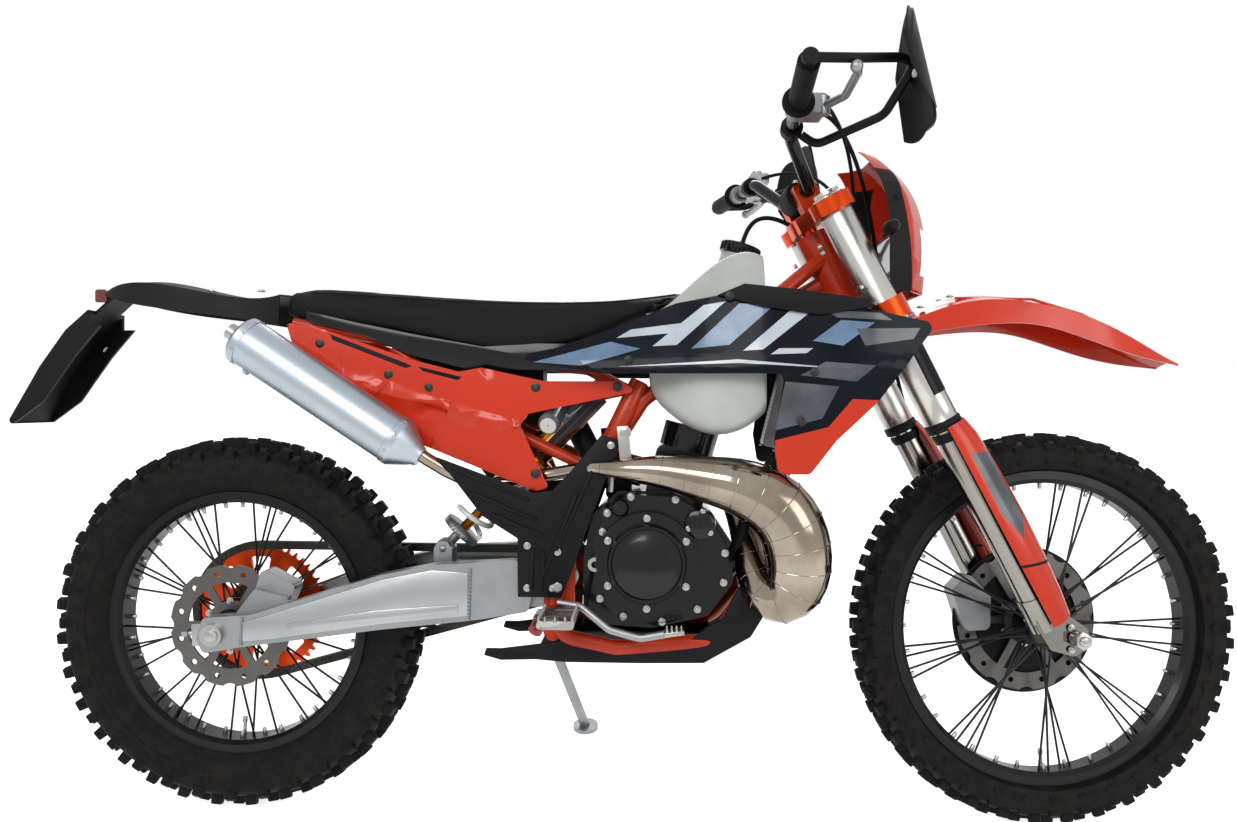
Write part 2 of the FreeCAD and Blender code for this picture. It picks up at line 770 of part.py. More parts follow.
def handguards():
    """Band from the bar end round the hand and back to the bar."""
    x, y, z = bar_end_point(BAR_END_Y + 9)
    px, py, pz = bar_end_point(172)
    band = tube([
        (x, y, z), (x + 62, y - 3, z + 2), (1084, 352, z + 26), (1128, 298, z + 42),
        (1100, 236, z - 16), (px + 40, 172, pz - 26), (px + 16, 172, pz - 10),
    ], 7.0, 34)
    end = rod(bar_end_point(BAR_END_Y), bar_end_point(BAR_END_Y + 15), 12)
    clamp_ring = ring(bar_end_point(164), bar_end_point(180), BAR_R + 7, BAR_R)
    shield = loft([
        Part.Wire(rounded_wire([V(1078, 404, 1196), V(1072, 404, 1196), V(1062, 398, 1246), V(1068, 398, 1246)], 1)),
        Part.Wire(rounded_wire([V(1126, 360, 1150), V(1120, 359, 1150), V(1090, 352, 1296), V(1096, 353, 1296)], 1)),
        Part.Wire(rounded_wire([V(1142, 300, 1142), V(1136, 299, 1142), V(1104, 294, 1312), V(1110, 295, 1312)], 1)),
        Part.Wire(rounded_wire([V(1128, 236, 1140), V(1122, 238, 1140), V(1108, 240, 1240), V(1114, 238, 1240)], 1)),
    ])
    shield.translate(V(6, 6, 0))
    hollow = shield.cut(band)
    arch = fused([band.cut(rod(bar_end_point(160), bar_end_point(184), BAR_R)), end, clamp_ring])
    return Part.makeCompound(both_sides(arch) + both_sides(hollow))


def fork_guards():
    """Half-round shield in front of each stanchion, with a foot at the lug."""
    parts = []
    ahead, up = axle_in_head()
    for side in (1, -1):
        low, high = up + 64, TUBE_BOTTOM - 6
        shell = ring(leg_point(side, low), leg_point(side, high), 40, 36)
        foot = ring(leg_point(side, low + 2), leg_point(side, low + 22), 38, AXLE_LUG_R)
        shell = shell.fuse(foot)
        x, y, z = leg_point(side, low)
        keep = block(x - 4, x + 60, y - 45, y + 45, low - 5, high + 5)
        parts.append(to_head(shell.common(keep)))
    return Part.makeCompound(parts)


def front_caliper():
    """Caliper behind the left leg, over the disc, with the round disc guard."""
    ahead, up = axle_in_head()
    mid = FRONT_HUB_LEFT + FRONT_DISC_T / 2
    body = plate([
        (ahead - 116, up + 40), (ahead - 74, up + 20), (ahead - 44, up + 74),
        (ahead - 62, up + 132), (ahead - 104, up + 118),
    ], mid - 18, mid + 22, 12)
    slot = ring((ahead, mid - 4, up), (ahead, mid + 4, up), FRONT_DISC_R + 6, FRONT_DISC_R - 60)
    body = body.cut(slot)
    arm = plate([
        (ahead - 78, up + 62), (LEG_AHEAD - 18, up + 62), (LEG_AHEAD - 18, up + 100), (ahead - 78, up + 100),
    ], mid + 12, LEG_Y - 8, 8)
    arm = arm.cut(rod(leg_point(1, up + 34), leg_point(1, up + 200), AXLE_LUG_R))
    return to_head(fused([body, arm]))


def disc_guard():
    ahead, up = axle_in_head()
    y0 = FRONT_HUB_LEFT + FRONT_DISC_T + 3
    outer = rod((ahead, y0, up), (ahead, y0 + 2, up), FRONT_DISC_R + 6)
    window = rod((ahead, y0, up), (ahead, y0 + 3, up), 36)
    cuts = [rod((ahead + 86 * math.cos(a), y0, up + 86 * math.sin(a)),
                (ahead + 86 * math.cos(a), y0 + 3, up + 86 * math.sin(a)), 18)
            for a in (0.0, 1.05, -1.05, -2.1, 3.14)]
    behind = block(ahead - 200, ahead - 42, y0 - 1, y0 + 6, up + 5, up + 170)
    posts = [
        rod((LEG_AHEAD, y0, up + 48), (LEG_AHEAD, 80, up + 48), 5),
        rod((ahead - 2, y0, up + 42), (ahead - 2, 80, up + 42), 5),
    ]
    guard = to_head(fused([outer.cut([window, behind] + cuts)] + posts))
    return guard.cut(fork_lower_legs())


def plastic_guards():
    return Part.makeCompound([fork_guards(), disc_guard()])


def arch_wire(x, z, half, crown, lip, wall):
    """Mudguard section: raised middle, sloping sides, turned-down lips."""
    outer = [
        (-half, z - lip), (-half * 0.92, z - crown * 0.35), (-half * 0.45, z), (0, z + crown * 0.4),
        (half * 0.45, z), (half * 0.92, z - crown * 0.35), (half, z - lip),
    ]
    inner = [
        (half - wall, z - lip), (half * 0.92 - wall, z - crown * 0.35 - wall), (half * 0.43, z - wall),
        (0, z + crown * 0.4 - wall), (-half * 0.43, z - wall), (wall - half * 0.92, z - crown * 0.35 - wall),
        (wall - half, z - lip),
    ]
    return polygon([V(x, y, h) for y, h in outer + inner])


def front_fender():
    wall = 3.0
    guard = loft([
        arch_wire(1150, 868, 46, 22, 14, wall),
        arch_wire(1212, 898, 52, 22, 34, wall),
        arch_wire(1290, 926, 62, 22, 50, wall),
        arch_wire(1440, 926, 68, 20, 46, wall),
        arch_wire(1530, 902, 66, 18, 48, wall),
        arch_wire(1640, 850, 54, 14, 26, wall),
        arch_wire(1705, 822, 34, 8, 8, wall),
    ])
    return guard


def headlight_mask():
    wall = 3.0

    def section(back, z, half, depth):
        out = [(back, -half), (back + depth * 0.55, -half * 0.86), (back + depth, -half * 0.45),
               (back + depth, half * 0.45), (back + depth * 0.55, half * 0.86), (back, half)]
        inn = [(back, half - wall), (back + depth * 0.52, half * 0.86 - wall), (back + depth - wall, half * 0.43),
               (back + depth - wall, -half * 0.43), (back + depth * 0.52, wall - half * 0.86), (back, wall - half)]
        return polygon([V(x, y, z) for x, y in out + inn])

    shell = loft([
        section(1158, 935, 96, 74), section(1150, 1000, 116, 84),
        section(1150, 1090, 104, 74), section(1112, 1182, 66, 40),
    ])
    window = plate([(1100, 965.7), (1300, 965.7), (1300, 1048.3), (1100, 1048.3)], -66.3, 66.3)
    return shell.cut(window)


def headlight():
    return rounded_block(1176, 1228, -66, 66, 966, 1048, 12)


# Chassis

def frame_main():
    rails = []
    for side in (1, -1):
        rails.append(tube([
            head_point(-6, side * 20, 118),
            (905, side * 58, 872), (742, side * 72, 748), (655, side * 78, 612),
            (PIVOT_X + 12, side * CRADLE_Y, 480), (PIVOT_X - 10, side * CRADLE_Y, 345),
            (700, side * CRADLE_Y, 322), (872, side * CRADLE_Y * 0.9, 334),
            (940, side * 46, 440), (978, side * 14, 566),
        ], CRADLE_TUBE_R, 45))
    down = rod(head_point(-8, 0, 62), (974, 0, 556), DOWN_TUBE_R)
    strut = rod(head_point(-8, 0, 80), (905, 0, 872), CRADLE_TUBE_R)
    tie_top = rod((742, -72, 748), (742, 72, 748), CRADLE_TUBE_R)
    tie_strut = rod((905, -58, 872), (905, 58, 872), CRADLE_TUBE_R)
    tie_low = rod((PIVOT_X - 6, -CRADLE_Y, 345), (PIVOT_X - 6, CRADLE_Y, 345), CRADLE_TUBE_R)
    shaft = rod((PIVOT_X, -110, PIVOT_Z), (PIVOT_X, 110, PIVOT_Z), PIVOT_R)
    plates = []
    for side in (1, -1):
        y0 = 92.0 if side > 0 else -104.0
        plates.append(plate([
            (PIVOT_X - 22, 340), (PIVOT_X + 30, 340), (PIVOT_X + 34, 470),
            (PIVOT_X + 12, 500), (PIVOT_X - 20, 450),
        ], y0, y0 + 12, 10))
    head = to_head(rod((0, 0, HEAD_TUBE_LOW), (0, 0, HEAD_TUBE_TOP), HEAD_TUBE_R))
    stays = []
    for x, z in RADIATOR_STAYS:
        stays.append(rod((x, -RADIATOR_INNER, z), (x, RADIATOR_INNER, z), 5))
    shape = fused(rails + [down, strut, tie_top, tie_strut, tie_low, head] + plates + stays)
    bore = to_head(rod((0, 0, HEAD_TUBE_LOW - 1), (0, 0, HEAD_TUBE_TOP + 1), STEM_R + PIN_GAP))
    return fused([shape.cut(bore), shaft])


def swingarm():
    arm = plate([
        (-30, 332), (-18, 306), (48, 318), (293, 352), (470, 372), (548, 384),
        (558, 430), (527, 474), (380, 464), (293, 446), (65, 374), (-18, 368),
    ], 92, 122, 10)
    taper = plate([(440, 340), (580, 340), (580, 500), (440, 500)], 108, 130)
    taper.rotate(V(440, 122, 0), V(0, 0, 1), -6)
    taper.translate(V(0, 14, 0))
    arm = arm.cut(taper)
    bridge = rounded_block(372, 520, -93, 93, 384, 446, 12)
    web = plate([(500, 388), (PIVOT_X, 388), (PIVOT_X, 436), (500, 440)], 62, 87)
    boss = rod((PIVOT_X, -87, PIVOT_Z), (PIVOT_X, 87, PIVOT_Z), 24)
    ear = plate([(372, 440), (404, 440), (404, 484), (396, 496), (380, 496), (372, 484)], -62, -50, 6)
    ear2 = ear.copy()
    ear2.translate(V(0, 32, 0))
    shape = fused(both_sides(arm) + both_sides(web) + [bridge, boss, ear, ear2])
    return shape.cut([
        rod((PIVOT_X, -130, PIVOT_Z), (PIVOT_X, 130, PIVOT_Z), PIVOT_R),
        rod((0, -130, REAR_TYRE_R), (0, 130, REAR_TYRE_R), REAR_AXLE_R),
        rod((388, -70, 484), (388, -10, 484), SHOCK_BOLT_R),
    ])


def rear_axle():
    z = REAR_TYRE_R
    shaft = rod((0, -134, z), (0, 130, z), REAR_AXLE_R)
    right = ring((0, -92, z), (0, -REAR_HUB_RIGHT - RUN_GAP, z), 20, REAR_AXLE_R)
    left = ring((0, REAR_HUB_LEFT + RUN_GAP, z), (0, 92, z), 20, REAR_AXLE_R)
    nut = rod((0, 122, z), (0, 134, z), 18)
    head = rod((0, -132, z), (0, -122, z), 19)
    return fused([shaft, right, left, nut, head])


def crankcase():
    outline = [
        (640, 372), (660, 356), (760, 350), (858, 372), (902, 430), (900, 500),
        (862, 556), (800, 590), (700, 590), (652, 540), (640, 470),
    ]
    return plate(outline, -CASE_RIGHT, CASE_LEFT, 14)


def clutch_cover():
    base = plate([
        (662, 420), (700, 378), (770, 364), (842, 386), (892, 436), (890, 500),
        (850, 556), (800, 584), (724, 588), (680, 560), (660, 500),
    ], -COVER_RIGHT + 30, -CASE_RIGHT, 18)
    dome = rod((CRANK_X - 16, -COVER_RIGHT + 10, 474), (CRANK_X - 16, -CASE_RIGHT, 474), 86)
    cap = rod((CRANK_X - 16, -COVER_RIGHT, 474), (CRANK_X - 16, -COVER_RIGHT + 12, 474), 66)
    return fused([base, dome, cap])


def ignition_cover():
    return rod((CRANK_X + 20, CASE_LEFT, CRANK_Z), (CRANK_X + 20, COVER_LEFT, CRANK_Z), 70)


def engine_covers():
    return Part.makeCompound([clutch_cover(), ignition_cover()])


def front_sprocket():
    gear = toothed_ring(FRONT_TEETH, REAR_HUB_LEFT, REAR_HUB_LEFT + SPROCKET_T, 10)
    gear = at_wheel(gear, SHAFT_X, SHAFT_Z)
    shaft = rod((SHAFT_X, CASE_LEFT, SHAFT_Z), (SHAFT_X, REAR_HUB_LEFT + SPROCKET_T + 6, SHAFT_Z), 10)
    return fused([gear, shaft])


def chain_and_sprocket():
    return Part.makeCompound([drive_chain(), front_sprocket()])


def up_cylinder(shape):
    shape = shape.copy()
    turn = FreeCAD.Rotation(V(0, 1, 0), CYLINDER_TILT_DEG)
    shape.Placement = FreeCAD.Placement(V(CRANK_X, 0, CRANK_Z), turn).multiply(shape.Placement)
    return shape


def cylinder():
    half = CYLINDER_HALF
    barrel = rounded_block(-half, half, -half, half, CYLINDER_BASE, HEAD_JOINT, 14)
    cap = rod((0, 0, HEAD_JOINT), (0, 0, HEAD_TOP), half - 2)
    plug = rod((0, 0, HEAD_TOP), (0, 0, HEAD_TOP + 34), 9)
    port = rod((half - 4, 0, CYLINDER_BASE + 50), (half + 16, 0, CYLINDER_BASE + 42), 27)
    shape = up_cylinder(fused([barrel, cap, plug, port]))
    return shape.cut(crankcase())


def carburettor():
    body = rod((652, 12, 640), (742, 0, 618), 27)
    bowl = rounded_block(676, 722, -22, 30, 572, 620, 8)
    top = rod((694, 4, 640), (686, 4, 700), 22)
    shape = fused([body, bowl, top])
    return shape.cut([crankcase(), cylinder()])


def airbox():
    box = loft([
        polygon([V(250, y, z) for y, z in ((-54, 790), (54, 790), (54, 834), (-54, 834))]),
        polygon([V(560, y, z) for y, z in ((-6, 700), (54, 700), (54, 806), (-6, 806))]),
    ])
    boot = tube([(556, 30, 744), (600, 30, 735), (651, 13, 641)], 22, 60)
    return fused([box, boot]).cut(carburettor())


def intake():
    return Part.makeCompound([carburettor(), airbox()])


def exhaust_chamber():
    """Header, belly and tail cone of the two-stroke pipe, then the stinger."""
    swell = swollen_tube([
        (898, -2, 584, 21), (918, -34, 540, 23), (930, -76, 476, 27), (946, -104, 428, 33),
        (984, -124, 418, 42), (1006, -130, 468, 50), (986, -136, 534, 55), (930, -142, 584, 52),
        (856, -144, 616, 40), (776, -142, 630, 28), (700, -136, 632, 16), (660, -130, 634, 13),
    ], 2)
    stinger = tube([
        (662, -130, 634), (600, -124, 634), (470, -122, 612), (352, -134, 664),
    ], 13, 60)
    return fused([swell, stinger])


def muffler():
    ax, az, bx, bz = 330.0, 674.0, 62.0, 848.0
    y = -134.0
    dx, dz = ax - bx, az - bz
    length = math.hypot(dx, dz)
    ux, uz = dx / length, dz / length
    body = rod((bx, y, bz), (ax, y, az), 42)
    nose = cone((ax, y, az), (ax + ux * 34, y, az + uz * 34), 42, 22)
    cap = rod((bx - ux * 10, y, bz - uz * 10), (bx, y, bz), 43)
    tip = rod((bx - ux * 32, y, bz - uz * 32), (bx - ux * 10, y, bz - uz * 10), 14)
    shape = fused([body, nose, cap, tip])
    return shape.cut(exhaust_chamber())


def radiators():
    parts = []
    for side in (1, -1):
        core = plate([(968, 664), (1012, 656), (1049, 820), (1009, 832)], RADIATOR_INNER, RADIATOR_OUTER, 8)
        parts.append(core if side > 0 else mirrored(core))
    return Part.makeCompound(parts)


def fuel_tank():
    """Saddle over the frame, with a lobe hanging at each side."""
    def section(x, z_low, z_high, half):
        pts = [V(x, -half, z_low), V(x, half, z_low), V(x, half, z_low + 0.6 * (z_high - z_low)),
               V(x, 0.55 * half, z_high), V(x, -0.55 * half, z_high),
               V(x, -half, z_low + 0.6 * (z_high - z_low))]
        return rounded_wire(pts, 22)
    body = loft([
        section(748, 770, 905, 84), section(820, 705, 946, 136),
        section(900, 696, 1004, 148), section(950, 730, 1000, 146),
    ])
    filler = rod(filler_point(0), filler_point(32), 32)
    tunnel = block(700, 1000, -92, 92, 600, 900)
    relief = [
        rod(head_point(-6, side * 20, 118), (905, side * 58, 872), CRADLE_TUBE_R + RUN_GAP)
        for side in (1, -1)
    ]
    relief.append(rod(head_point(-8, 0, 80), (905, 0, 872), CRADLE_TUBE_R + RUN_GAP))
    return fused([body, filler]).cut([tunnel] + relief)


def filler_point(up):
    return (905 + 0.287 * up, 0, 980 + 0.958 * up)


def tank_cap():
    return rod(filler_point(34), filler_point(52), 35).cut(fuel_tank())


def tank_and_cap():
    return Part.makeCompound([fuel_tank(), tank_cap()])


def shroud(side):
    outline = [
        (513, 819), (676, 793), (975, 793), (959, 683), (967, 628), (1019, 628), (1060, 684),
        (1126, 748), (1224, 876), (1110, 899), (934, 925), (878, 924), (799, 909), (705, 872), (600, 836),
    ]
    skin = plate(outline, 158, 163, 12)
    bosses = [rod((x, RADIATOR_OUTER, z), (x, 160, z), 8) for x, z in SHROUD_BOLTS]
    bosses.append(rod((900, 147.5, 840), (900, 160, 840), 9))
    skin = fused([skin] + bosses).cut(fuel_tank())
    return skin if side > 0 else mirrored(skin)


def shrouds():
    return Part.makeCompound([shroud(-1), shroud(1)])


def side_panel(side):
    outline = [
        (117, 882), (166, 877), (336, 819), (425, 797), (464, 804), (573, 781), (707, 781),
        (734, 764), (548, 725), (533, 705), (582, 597), (560, 592), (387, 659), (243, 713), (131, 839),
    ]
    skin = plate(outline, 88, 92, 5)
    boss = rod((400, 80, 771), (400, 90, 771), 7)
    skin = skin.fuse(boss)
    return skin if side > 0 else mirrored(skin)


def side_panels():
    return Part.makeCompound([side_panel(-1), side_panel(1)])


def frame_guard(side):
    outline = [
        (532, 416), (610, 416), (640, 500), (707, 681), (674, 640), (600, 640), (540, 560), (531, 512),
    ]
    guard = plate(outline, 113.8, 118, 8)
    guard.rotate(V(0, 113.8, 480), V(1, 0, 0), 8)
    guard = guard.cut(frame_main())
    return guard if side > 0 else mirrored(guard)


def frame_guards():
    return Part.makeCompound([frame_guard(1), frame_guard(-1)])


def seat():
    def section(x, low, high, half, top):
        pts = [V(x, -half, low), V(x, half, low), V(x, half, high - 24), V(x, top, high),
               V(x, -top, high), V(x, -half, high - 24)]
        return rounded_wire(pts, 10)
    return loft([
        section(104, 902, 944, 66, 50), section(240, 880, 938, 84, 62),
        section(464, 838, 922, 92, 66), section(602, 842, 919, 86, 58),
        section(740, 906, 928, 70, 48), section(838, 938, 950, 56, 40),
    ])


def rear_fender():
    wall = 3.0
    return loft([
        arch_wire(-240, 944, 42, 8, 8, wall),
        arch_wire(-200, 958, 66, 12, 34, wall),
        arch_wire(-60, 946, 84, 10, 44, wall),
        arch_wire(104 - RUN_GAP, 936, 96, 10, 60, wall),
    ])


def plate_holder():
    """Number plate carrier drooping from the tail: a skin with turned-in
    sides and two bolt holes for the plate."""
    outline = [
        (-212, 954), (-168, 922), (-236, 884), (-286, 826), (-346, 742), (-404, 700),
        (-410, 708), (-352, 806), (-304, 872), (-249, 920),
    ]
    half = 58.0
    shape = plate(outline, -half, half, 6)
    hollow = plate(outline, HOLDER_WALL - half, half - HOLDER_WALL, 6)
    ux, uz = PLATE_NORMAL
    hollow.translate(V(-ux * HOLDER_WALL, 0, -uz * HOLDER_WALL))
    throat = block(-262, -150, 34, 60, 880, 960)
    holes = []
    for side in (1, -1):
        x, z = PLATE_CENTRE
        y = side * PLATE_BOLT_SPACING / 2
        holes.append(rod((x - ux * 20, y, z - uz * 20), (x + ux * 20, y, z + uz * 20), PLATE_BOLT_R))
    return shape.cut([hollow] + both_sides(throat) + [rear_fender()] + holes)


def tail_light():
    return rounded_block(-262, -240.3, -36, 36, 924, 948, 5).cut(plate_holder())


def shock_axis():
    return hand(V(*SHOCK_TOP) - V(*SHOCK_LOW))


def up_shock(distance):
    return tuple(V(*SHOCK_LOW) + shock_axis() * distance)


def shock_body():
    length = (V(*SHOCK_TOP) - V(*SHOCK_LOW)).Length
    x, y, z = SHOCK_LOW
    eye = rod((x, y - 9.7, z), (x, y + 9.7, z), 16)
    bolt = rod((x, y - 26, z), (x, y + 26, z), SHOCK_BOLT_R)
    shaft = rod(up_shock(10), up_shock(150), 9)
    cup = rod(up_shock(SPRING_FROM - 12), up_shock(SPRING_FROM - RUN_GAP), SPRING_R + 4)
    body = rod(up_shock(150), up_shock(length - 12), SPRING_R - SPRING_WIRE_R - 1.5)
    collar = rod(up_shock(SPRING_TO + RUN_GAP), up_shock(SPRING_TO + 14), SPRING_R + 5)
    x, y, z = SHOCK_TOP
    top = rod((x, y - 20, z), (x, y + 20, z), 17)
    neck = rod((606, -36, 715), (590, -70, 731), 12)
    return fused([eye, bolt, shaft, cup, body, collar, top, neck])


def shock_spring():
    start = up_shock(SPRING_FROM + SPRING_WIRE_R)
    height = SPRING_TO - SPRING_FROM - 2 * SPRING_WIRE_R
    helix = Part.makeHelix(height / 5.25, height, SPRING_R)
    section = Part.Wire(Part.makeCircle(SPRING_WIRE_R, V(SPRING_R, 0, 0), V(0, 1, 0)))
    coil = Part.Wire(helix.Edges).makePipeShell([section], True, True)
    turn = FreeCAD.Rotation(V(0, 0, 1), shock_axis())
    coil.Placement = FreeCAD.Placement(V(*start), turn).multiply(coil.Placement)
    return coil


def subframe():
    parts = []
    for side in (1, -1):
        y = side * 70
        parts.append(tube([(726, y, 762), (640, y, 806), (430, y, 827.7), (120, y * 0.9, 884)], SUBFRAME_TUBE_R, 60))
        parts.append(tube([(654, side * 78, 628), (520, y, 690), (300, y, 838)], SUBFRAME_TUBE_R, 60))
    return Part.makeCompound(parts)


def skid_plate():
    outline = [
        (560, 302), (610, 300.5), (741, 300.5), (850, 302), (922, 348), (962, 420),
        (954, 426), (914, 356), (846, 310), (741, 308.5), (610, 308.5), (560, 310),
    ]
    shape = plate(outline, -98, 98)
    nose = block(868, 980, 56, 100, 280, 440)
    return shape.cut(both_sides(nose) + [frame_main()])


def brake_pedal():
    return tube([(600, -121, 403), (640, -126, 398), (690, -148, 364), (742, -154, 352), (790, -158, 362)], 6.5, 30)


def gear_lever():
    lever = tube([(712, CASE_LEFT, 386), (712, 116, 386), (746, 128, 386), (806, 136, 378)], 6, 20)
    return lever.fuse(rod((806, 132, 378), (806, 166, 378), 8))


def foot_controls():
    return Part.makeCompound([brake_pedal(), gear_lever()])


def footpegs():
    peg = rounded_block(578, 638, 134, 236, 384, 398, 6)
    slots = [block(586, 630, 140 + 22 * i, 152 + 22 * i, 380, 400) for i in range(4)]
    bracket = rounded_block(582, 611, 100, 138, 370, 396, 6)
    peg = fused([peg.cut(slots), bracket]).cut(frame_main())
    return Part.makeCompound(both_sides(peg))


def rear_caliper():
    mid = -REAR_HUB_RIGHT - REAR_DISC_T / 2
    z = REAR_TYRE_R
    body = plate([(52, z + 60), (112, z + 40), (128, z + 78), (66, z + 108)], mid - 22, mid + 20, 10)
    slot = ring((0, mid - 4, z), (0, mid + 4, z), REAR_DISC_R + 6, REAR_DISC_R - 60)
    carrier = plate([(28, z + 8), (108, z + 20), (122, z + 60), (60, z + 74), (26, z + 30)], -91.7, mid - 20, 6)
    return fused([body.cut(slot), carrier])


def hand(d):
    v = V(*d)
    v.normalize()
    return v


def stand_axis():
    """Hinge direction: square to the leg both folded and let down."""
    down = V(*STAND_FOOT) - V(*STAND_PIVOT)
    return hand(down.cross(V(*STAND_FOLDED)))


def side_stand():
    settle = settle_placement()
    up = settle.Rotation.inverted().multVec(V(0, 0, 1))
    ground = settle.multVec(V(*STAND_FOOT))
    ground.z = 0
    sole_point = settle.inverse().multVec(ground)
    pivot = V(*STAND_PIVOT)
    foot = sole_point + up * (STAND_FOOT_T / 2)
    axis = stand_axis()
    down = hand(foot - pivot)
    thin = rod(tuple(pivot), tuple(pivot + down * 60), STAND_EYE_HALF - 0.5)
    leg = rod(tuple(pivot + down * 44), tuple(foot), STAND_LEG_R)
    eye = rod(tuple(pivot - axis * STAND_EYE_HALF), tuple(pivot + axis * STAND_EYE_HALF), STAND_EYE_R)
    hole = rod(tuple(pivot - axis * 20), tuple(pivot + axis * 20), STAND_PIN_R + PIN_GAP)
    sole = Part.makeCylinder(STAND_SOLE_R, STAND_FOOT_T, sole_point, up)
    return fused([thin, leg, eye, sole]).cut(hole)


def stand_bracket():
    """Pin and bracket on the lower left frame tube."""
    pivot = V(*STAND_PIVOT)
    axis = stand_axis()
    clear = STAND_EYE_HALF + RUN_GAP
    pin = rod(tuple(pivot - axis * 20), tuple(pivot + axis * (clear + 4)), STAND_PIN_R)
    head = rod(tuple(pivot + axis * clear), tuple(pivot + axis * (clear + 5)), STAND_PIN_R + 4)
    shoulder = rod(tuple(pivot - axis * 36), tuple(pivot - axis * clear), 14)
    brace = rod(tuple(pivot - axis * 32), (PIVOT_X - 9, CRADLE_Y - 21, 345), 9)
    return fused([pin, head, shoulder, brace])


def frame_with_subframe():
    return fused([frame_main(), stand_bracket()] + subframe().Solids)


# Pose

def lean_placement():
    return FreeCAD.Placement(V(0, 0, 0), FreeCAD.Rotation(V(1, 0, 0), -LEAN_DEG))


def steer_placement():
    return head_placement(STEER_DEG).multiply(head_placement().inverse())


def lowest(shape, placement):
    shape = shape.copy()
    shape.Placement = placement.multiply(shape.Placement)
    return shape.optimalBoundingBox().ZMin


def settle_placement():
    """Lean, then lift and pitch until both tyres touch the ground."""
    lean = lean_placement()
    rear = lowest(rear_tyre(), lean)
    front = lowest(front_tyre(), lean.multiply(steer_placement()))
    pitch = FreeCAD.Rotation(V(0, 1, 0), math.degrees(math.atan2(front - rear, WHEELBASE)))
    return FreeCAD.Placement(V(0, 0, -rear), pitch).multiply(lean)


CHASSIS = {
    "frame_main": frame_with_subframe,
    "frame_guards": frame_guards,
    "swingarm": swingarm,
    "rear_axle": rear_axle,
    "crankcase": crankcase,
    "engine_covers": engine_covers,
    "drive_chain": chain_and_sprocket,
    "cylinder": cylinder,
    "intake": intake,
    "exhaust_chamber": exhaust_chamber,
    "muffler": muffler,
    "radiators": radiators,
    "fuel_tank": tank_and_cap,
    "shrouds": shrouds,
    "side_panels": side_panels,
    "seat": seat,
    "rear_fender": rear_fender,
    "plate_holder": plate_holder,
    "tail_light": tail_light,
    "shock_body": shock_body,
    "shock_spring": shock_spring,
    "skid_plate": skid_plate,
    "foot_controls": foot_controls,
    "footpegs": footpegs,
    "rear_caliper": rear_caliper,
}

STEERING = {
    "triple_clamps": triple_clamps,
    "fork_upper_tubes": fork_upper_tubes,
    "fork_lower_legs": legs_and_axle,
    "fork_guards": plastic_guards,
    "front_caliper": front_caliper,
    "handlebar": handlebar,
    "grips": grips_and_pad,
    "levers": levers,
    "handguards": handguards,
    "headlight_mask": headlight_mask,
    "headlight": headlight,
    "front_fender": front_fender,
}

FRONT_WHEEL = {
    "front_tyre": front_tyre,
    "front_rim": front_rim,
    "front_disc": front_disc,
}

REAR_WHEEL = {
    "rear_tyre": rear_tyre,
    "rear_rim": rear_rim,
    "rear_disc": rear_disc,
    "sprocket": sprocket,
}

STAND = {
    "side_stand": side_stand,
}

BODIES = {
    "chassis": CHASSIS,
    "steering": STEERING,
    "front_wheel": FRONT_WHEEL,
    "rear_wheel": REAR_WHEEL,
    "side_stand": STAND,
}


def build():
    """Each node in the bike's standing pose, before it is centred."""
    settle = settle_placement()
    turned = settle.multiply(steer_placement())
    nodes = {}
    for body, makers in BODIES.items():
        place = turned if body in ("steering", "front_wheel") else settle
        for name, maker in makers.items():
            shape = maker()
            shape.Placement = place.multiply(shape.Placement)
            nodes[name] = shape
    return nodes, settle, turned


def centring(nodes):
    boxes = [shape.optimalBoundingBox() for shape in nodes.values()]
    x = (min(b.XMin for b in boxes) + max(b.XMax for b in boxes)) / 2
    y = (min(b.YMin for b in boxes) + max(b.YMax for b in boxes)) / 2
    z = min(b.ZMin for b in boxes)
    return V(-x, -y, -z)


NODES, SETTLE, TURNED = build()
SHIFT = centring(NODES)
for name, shape in NODES.items():
    shape.translate(SHIFT)
    shape.exportStep("parts/" + name + ".step")
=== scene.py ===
import bpy, bmesh, json, math
from mathutils import Matrix, Vector


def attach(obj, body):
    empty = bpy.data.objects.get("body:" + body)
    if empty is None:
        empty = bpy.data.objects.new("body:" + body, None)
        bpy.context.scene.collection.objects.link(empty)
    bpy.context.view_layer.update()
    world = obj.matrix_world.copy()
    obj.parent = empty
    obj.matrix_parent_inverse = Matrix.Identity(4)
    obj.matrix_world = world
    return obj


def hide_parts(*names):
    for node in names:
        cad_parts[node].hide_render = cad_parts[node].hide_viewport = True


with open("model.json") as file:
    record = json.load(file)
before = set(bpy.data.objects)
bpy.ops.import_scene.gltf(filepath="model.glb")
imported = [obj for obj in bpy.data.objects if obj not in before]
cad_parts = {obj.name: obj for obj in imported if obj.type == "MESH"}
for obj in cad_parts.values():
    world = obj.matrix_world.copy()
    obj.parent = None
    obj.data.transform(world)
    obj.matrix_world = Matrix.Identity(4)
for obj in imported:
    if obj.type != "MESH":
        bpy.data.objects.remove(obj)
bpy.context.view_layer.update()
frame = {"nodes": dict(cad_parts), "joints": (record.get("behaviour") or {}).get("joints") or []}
nodes = frame["nodes"]
print("frame loaded with", len(nodes), "nodes")

# Places. Pieces are drawn in millimetres on the upright bike: x forward from the
# rear axle, y to its left, z up from the ground, steering straight ahead.
stance = {"rakeDeg": 27.1, "rearRadius": 339.0, "frontRadius": 347.0, "wheelbase": 1460.0, "headDrop": 90.0}
joints = {joint["name"]: joint for joint in frame["joints"]}


def basis(origin, xAxis, yAxis, zAxis):
    place = Matrix((xAxis, yAxis, zAxis)).transposed().to_4x4()
    place.translation = origin
    return place @ Matrix.Scale(0.001, 4)


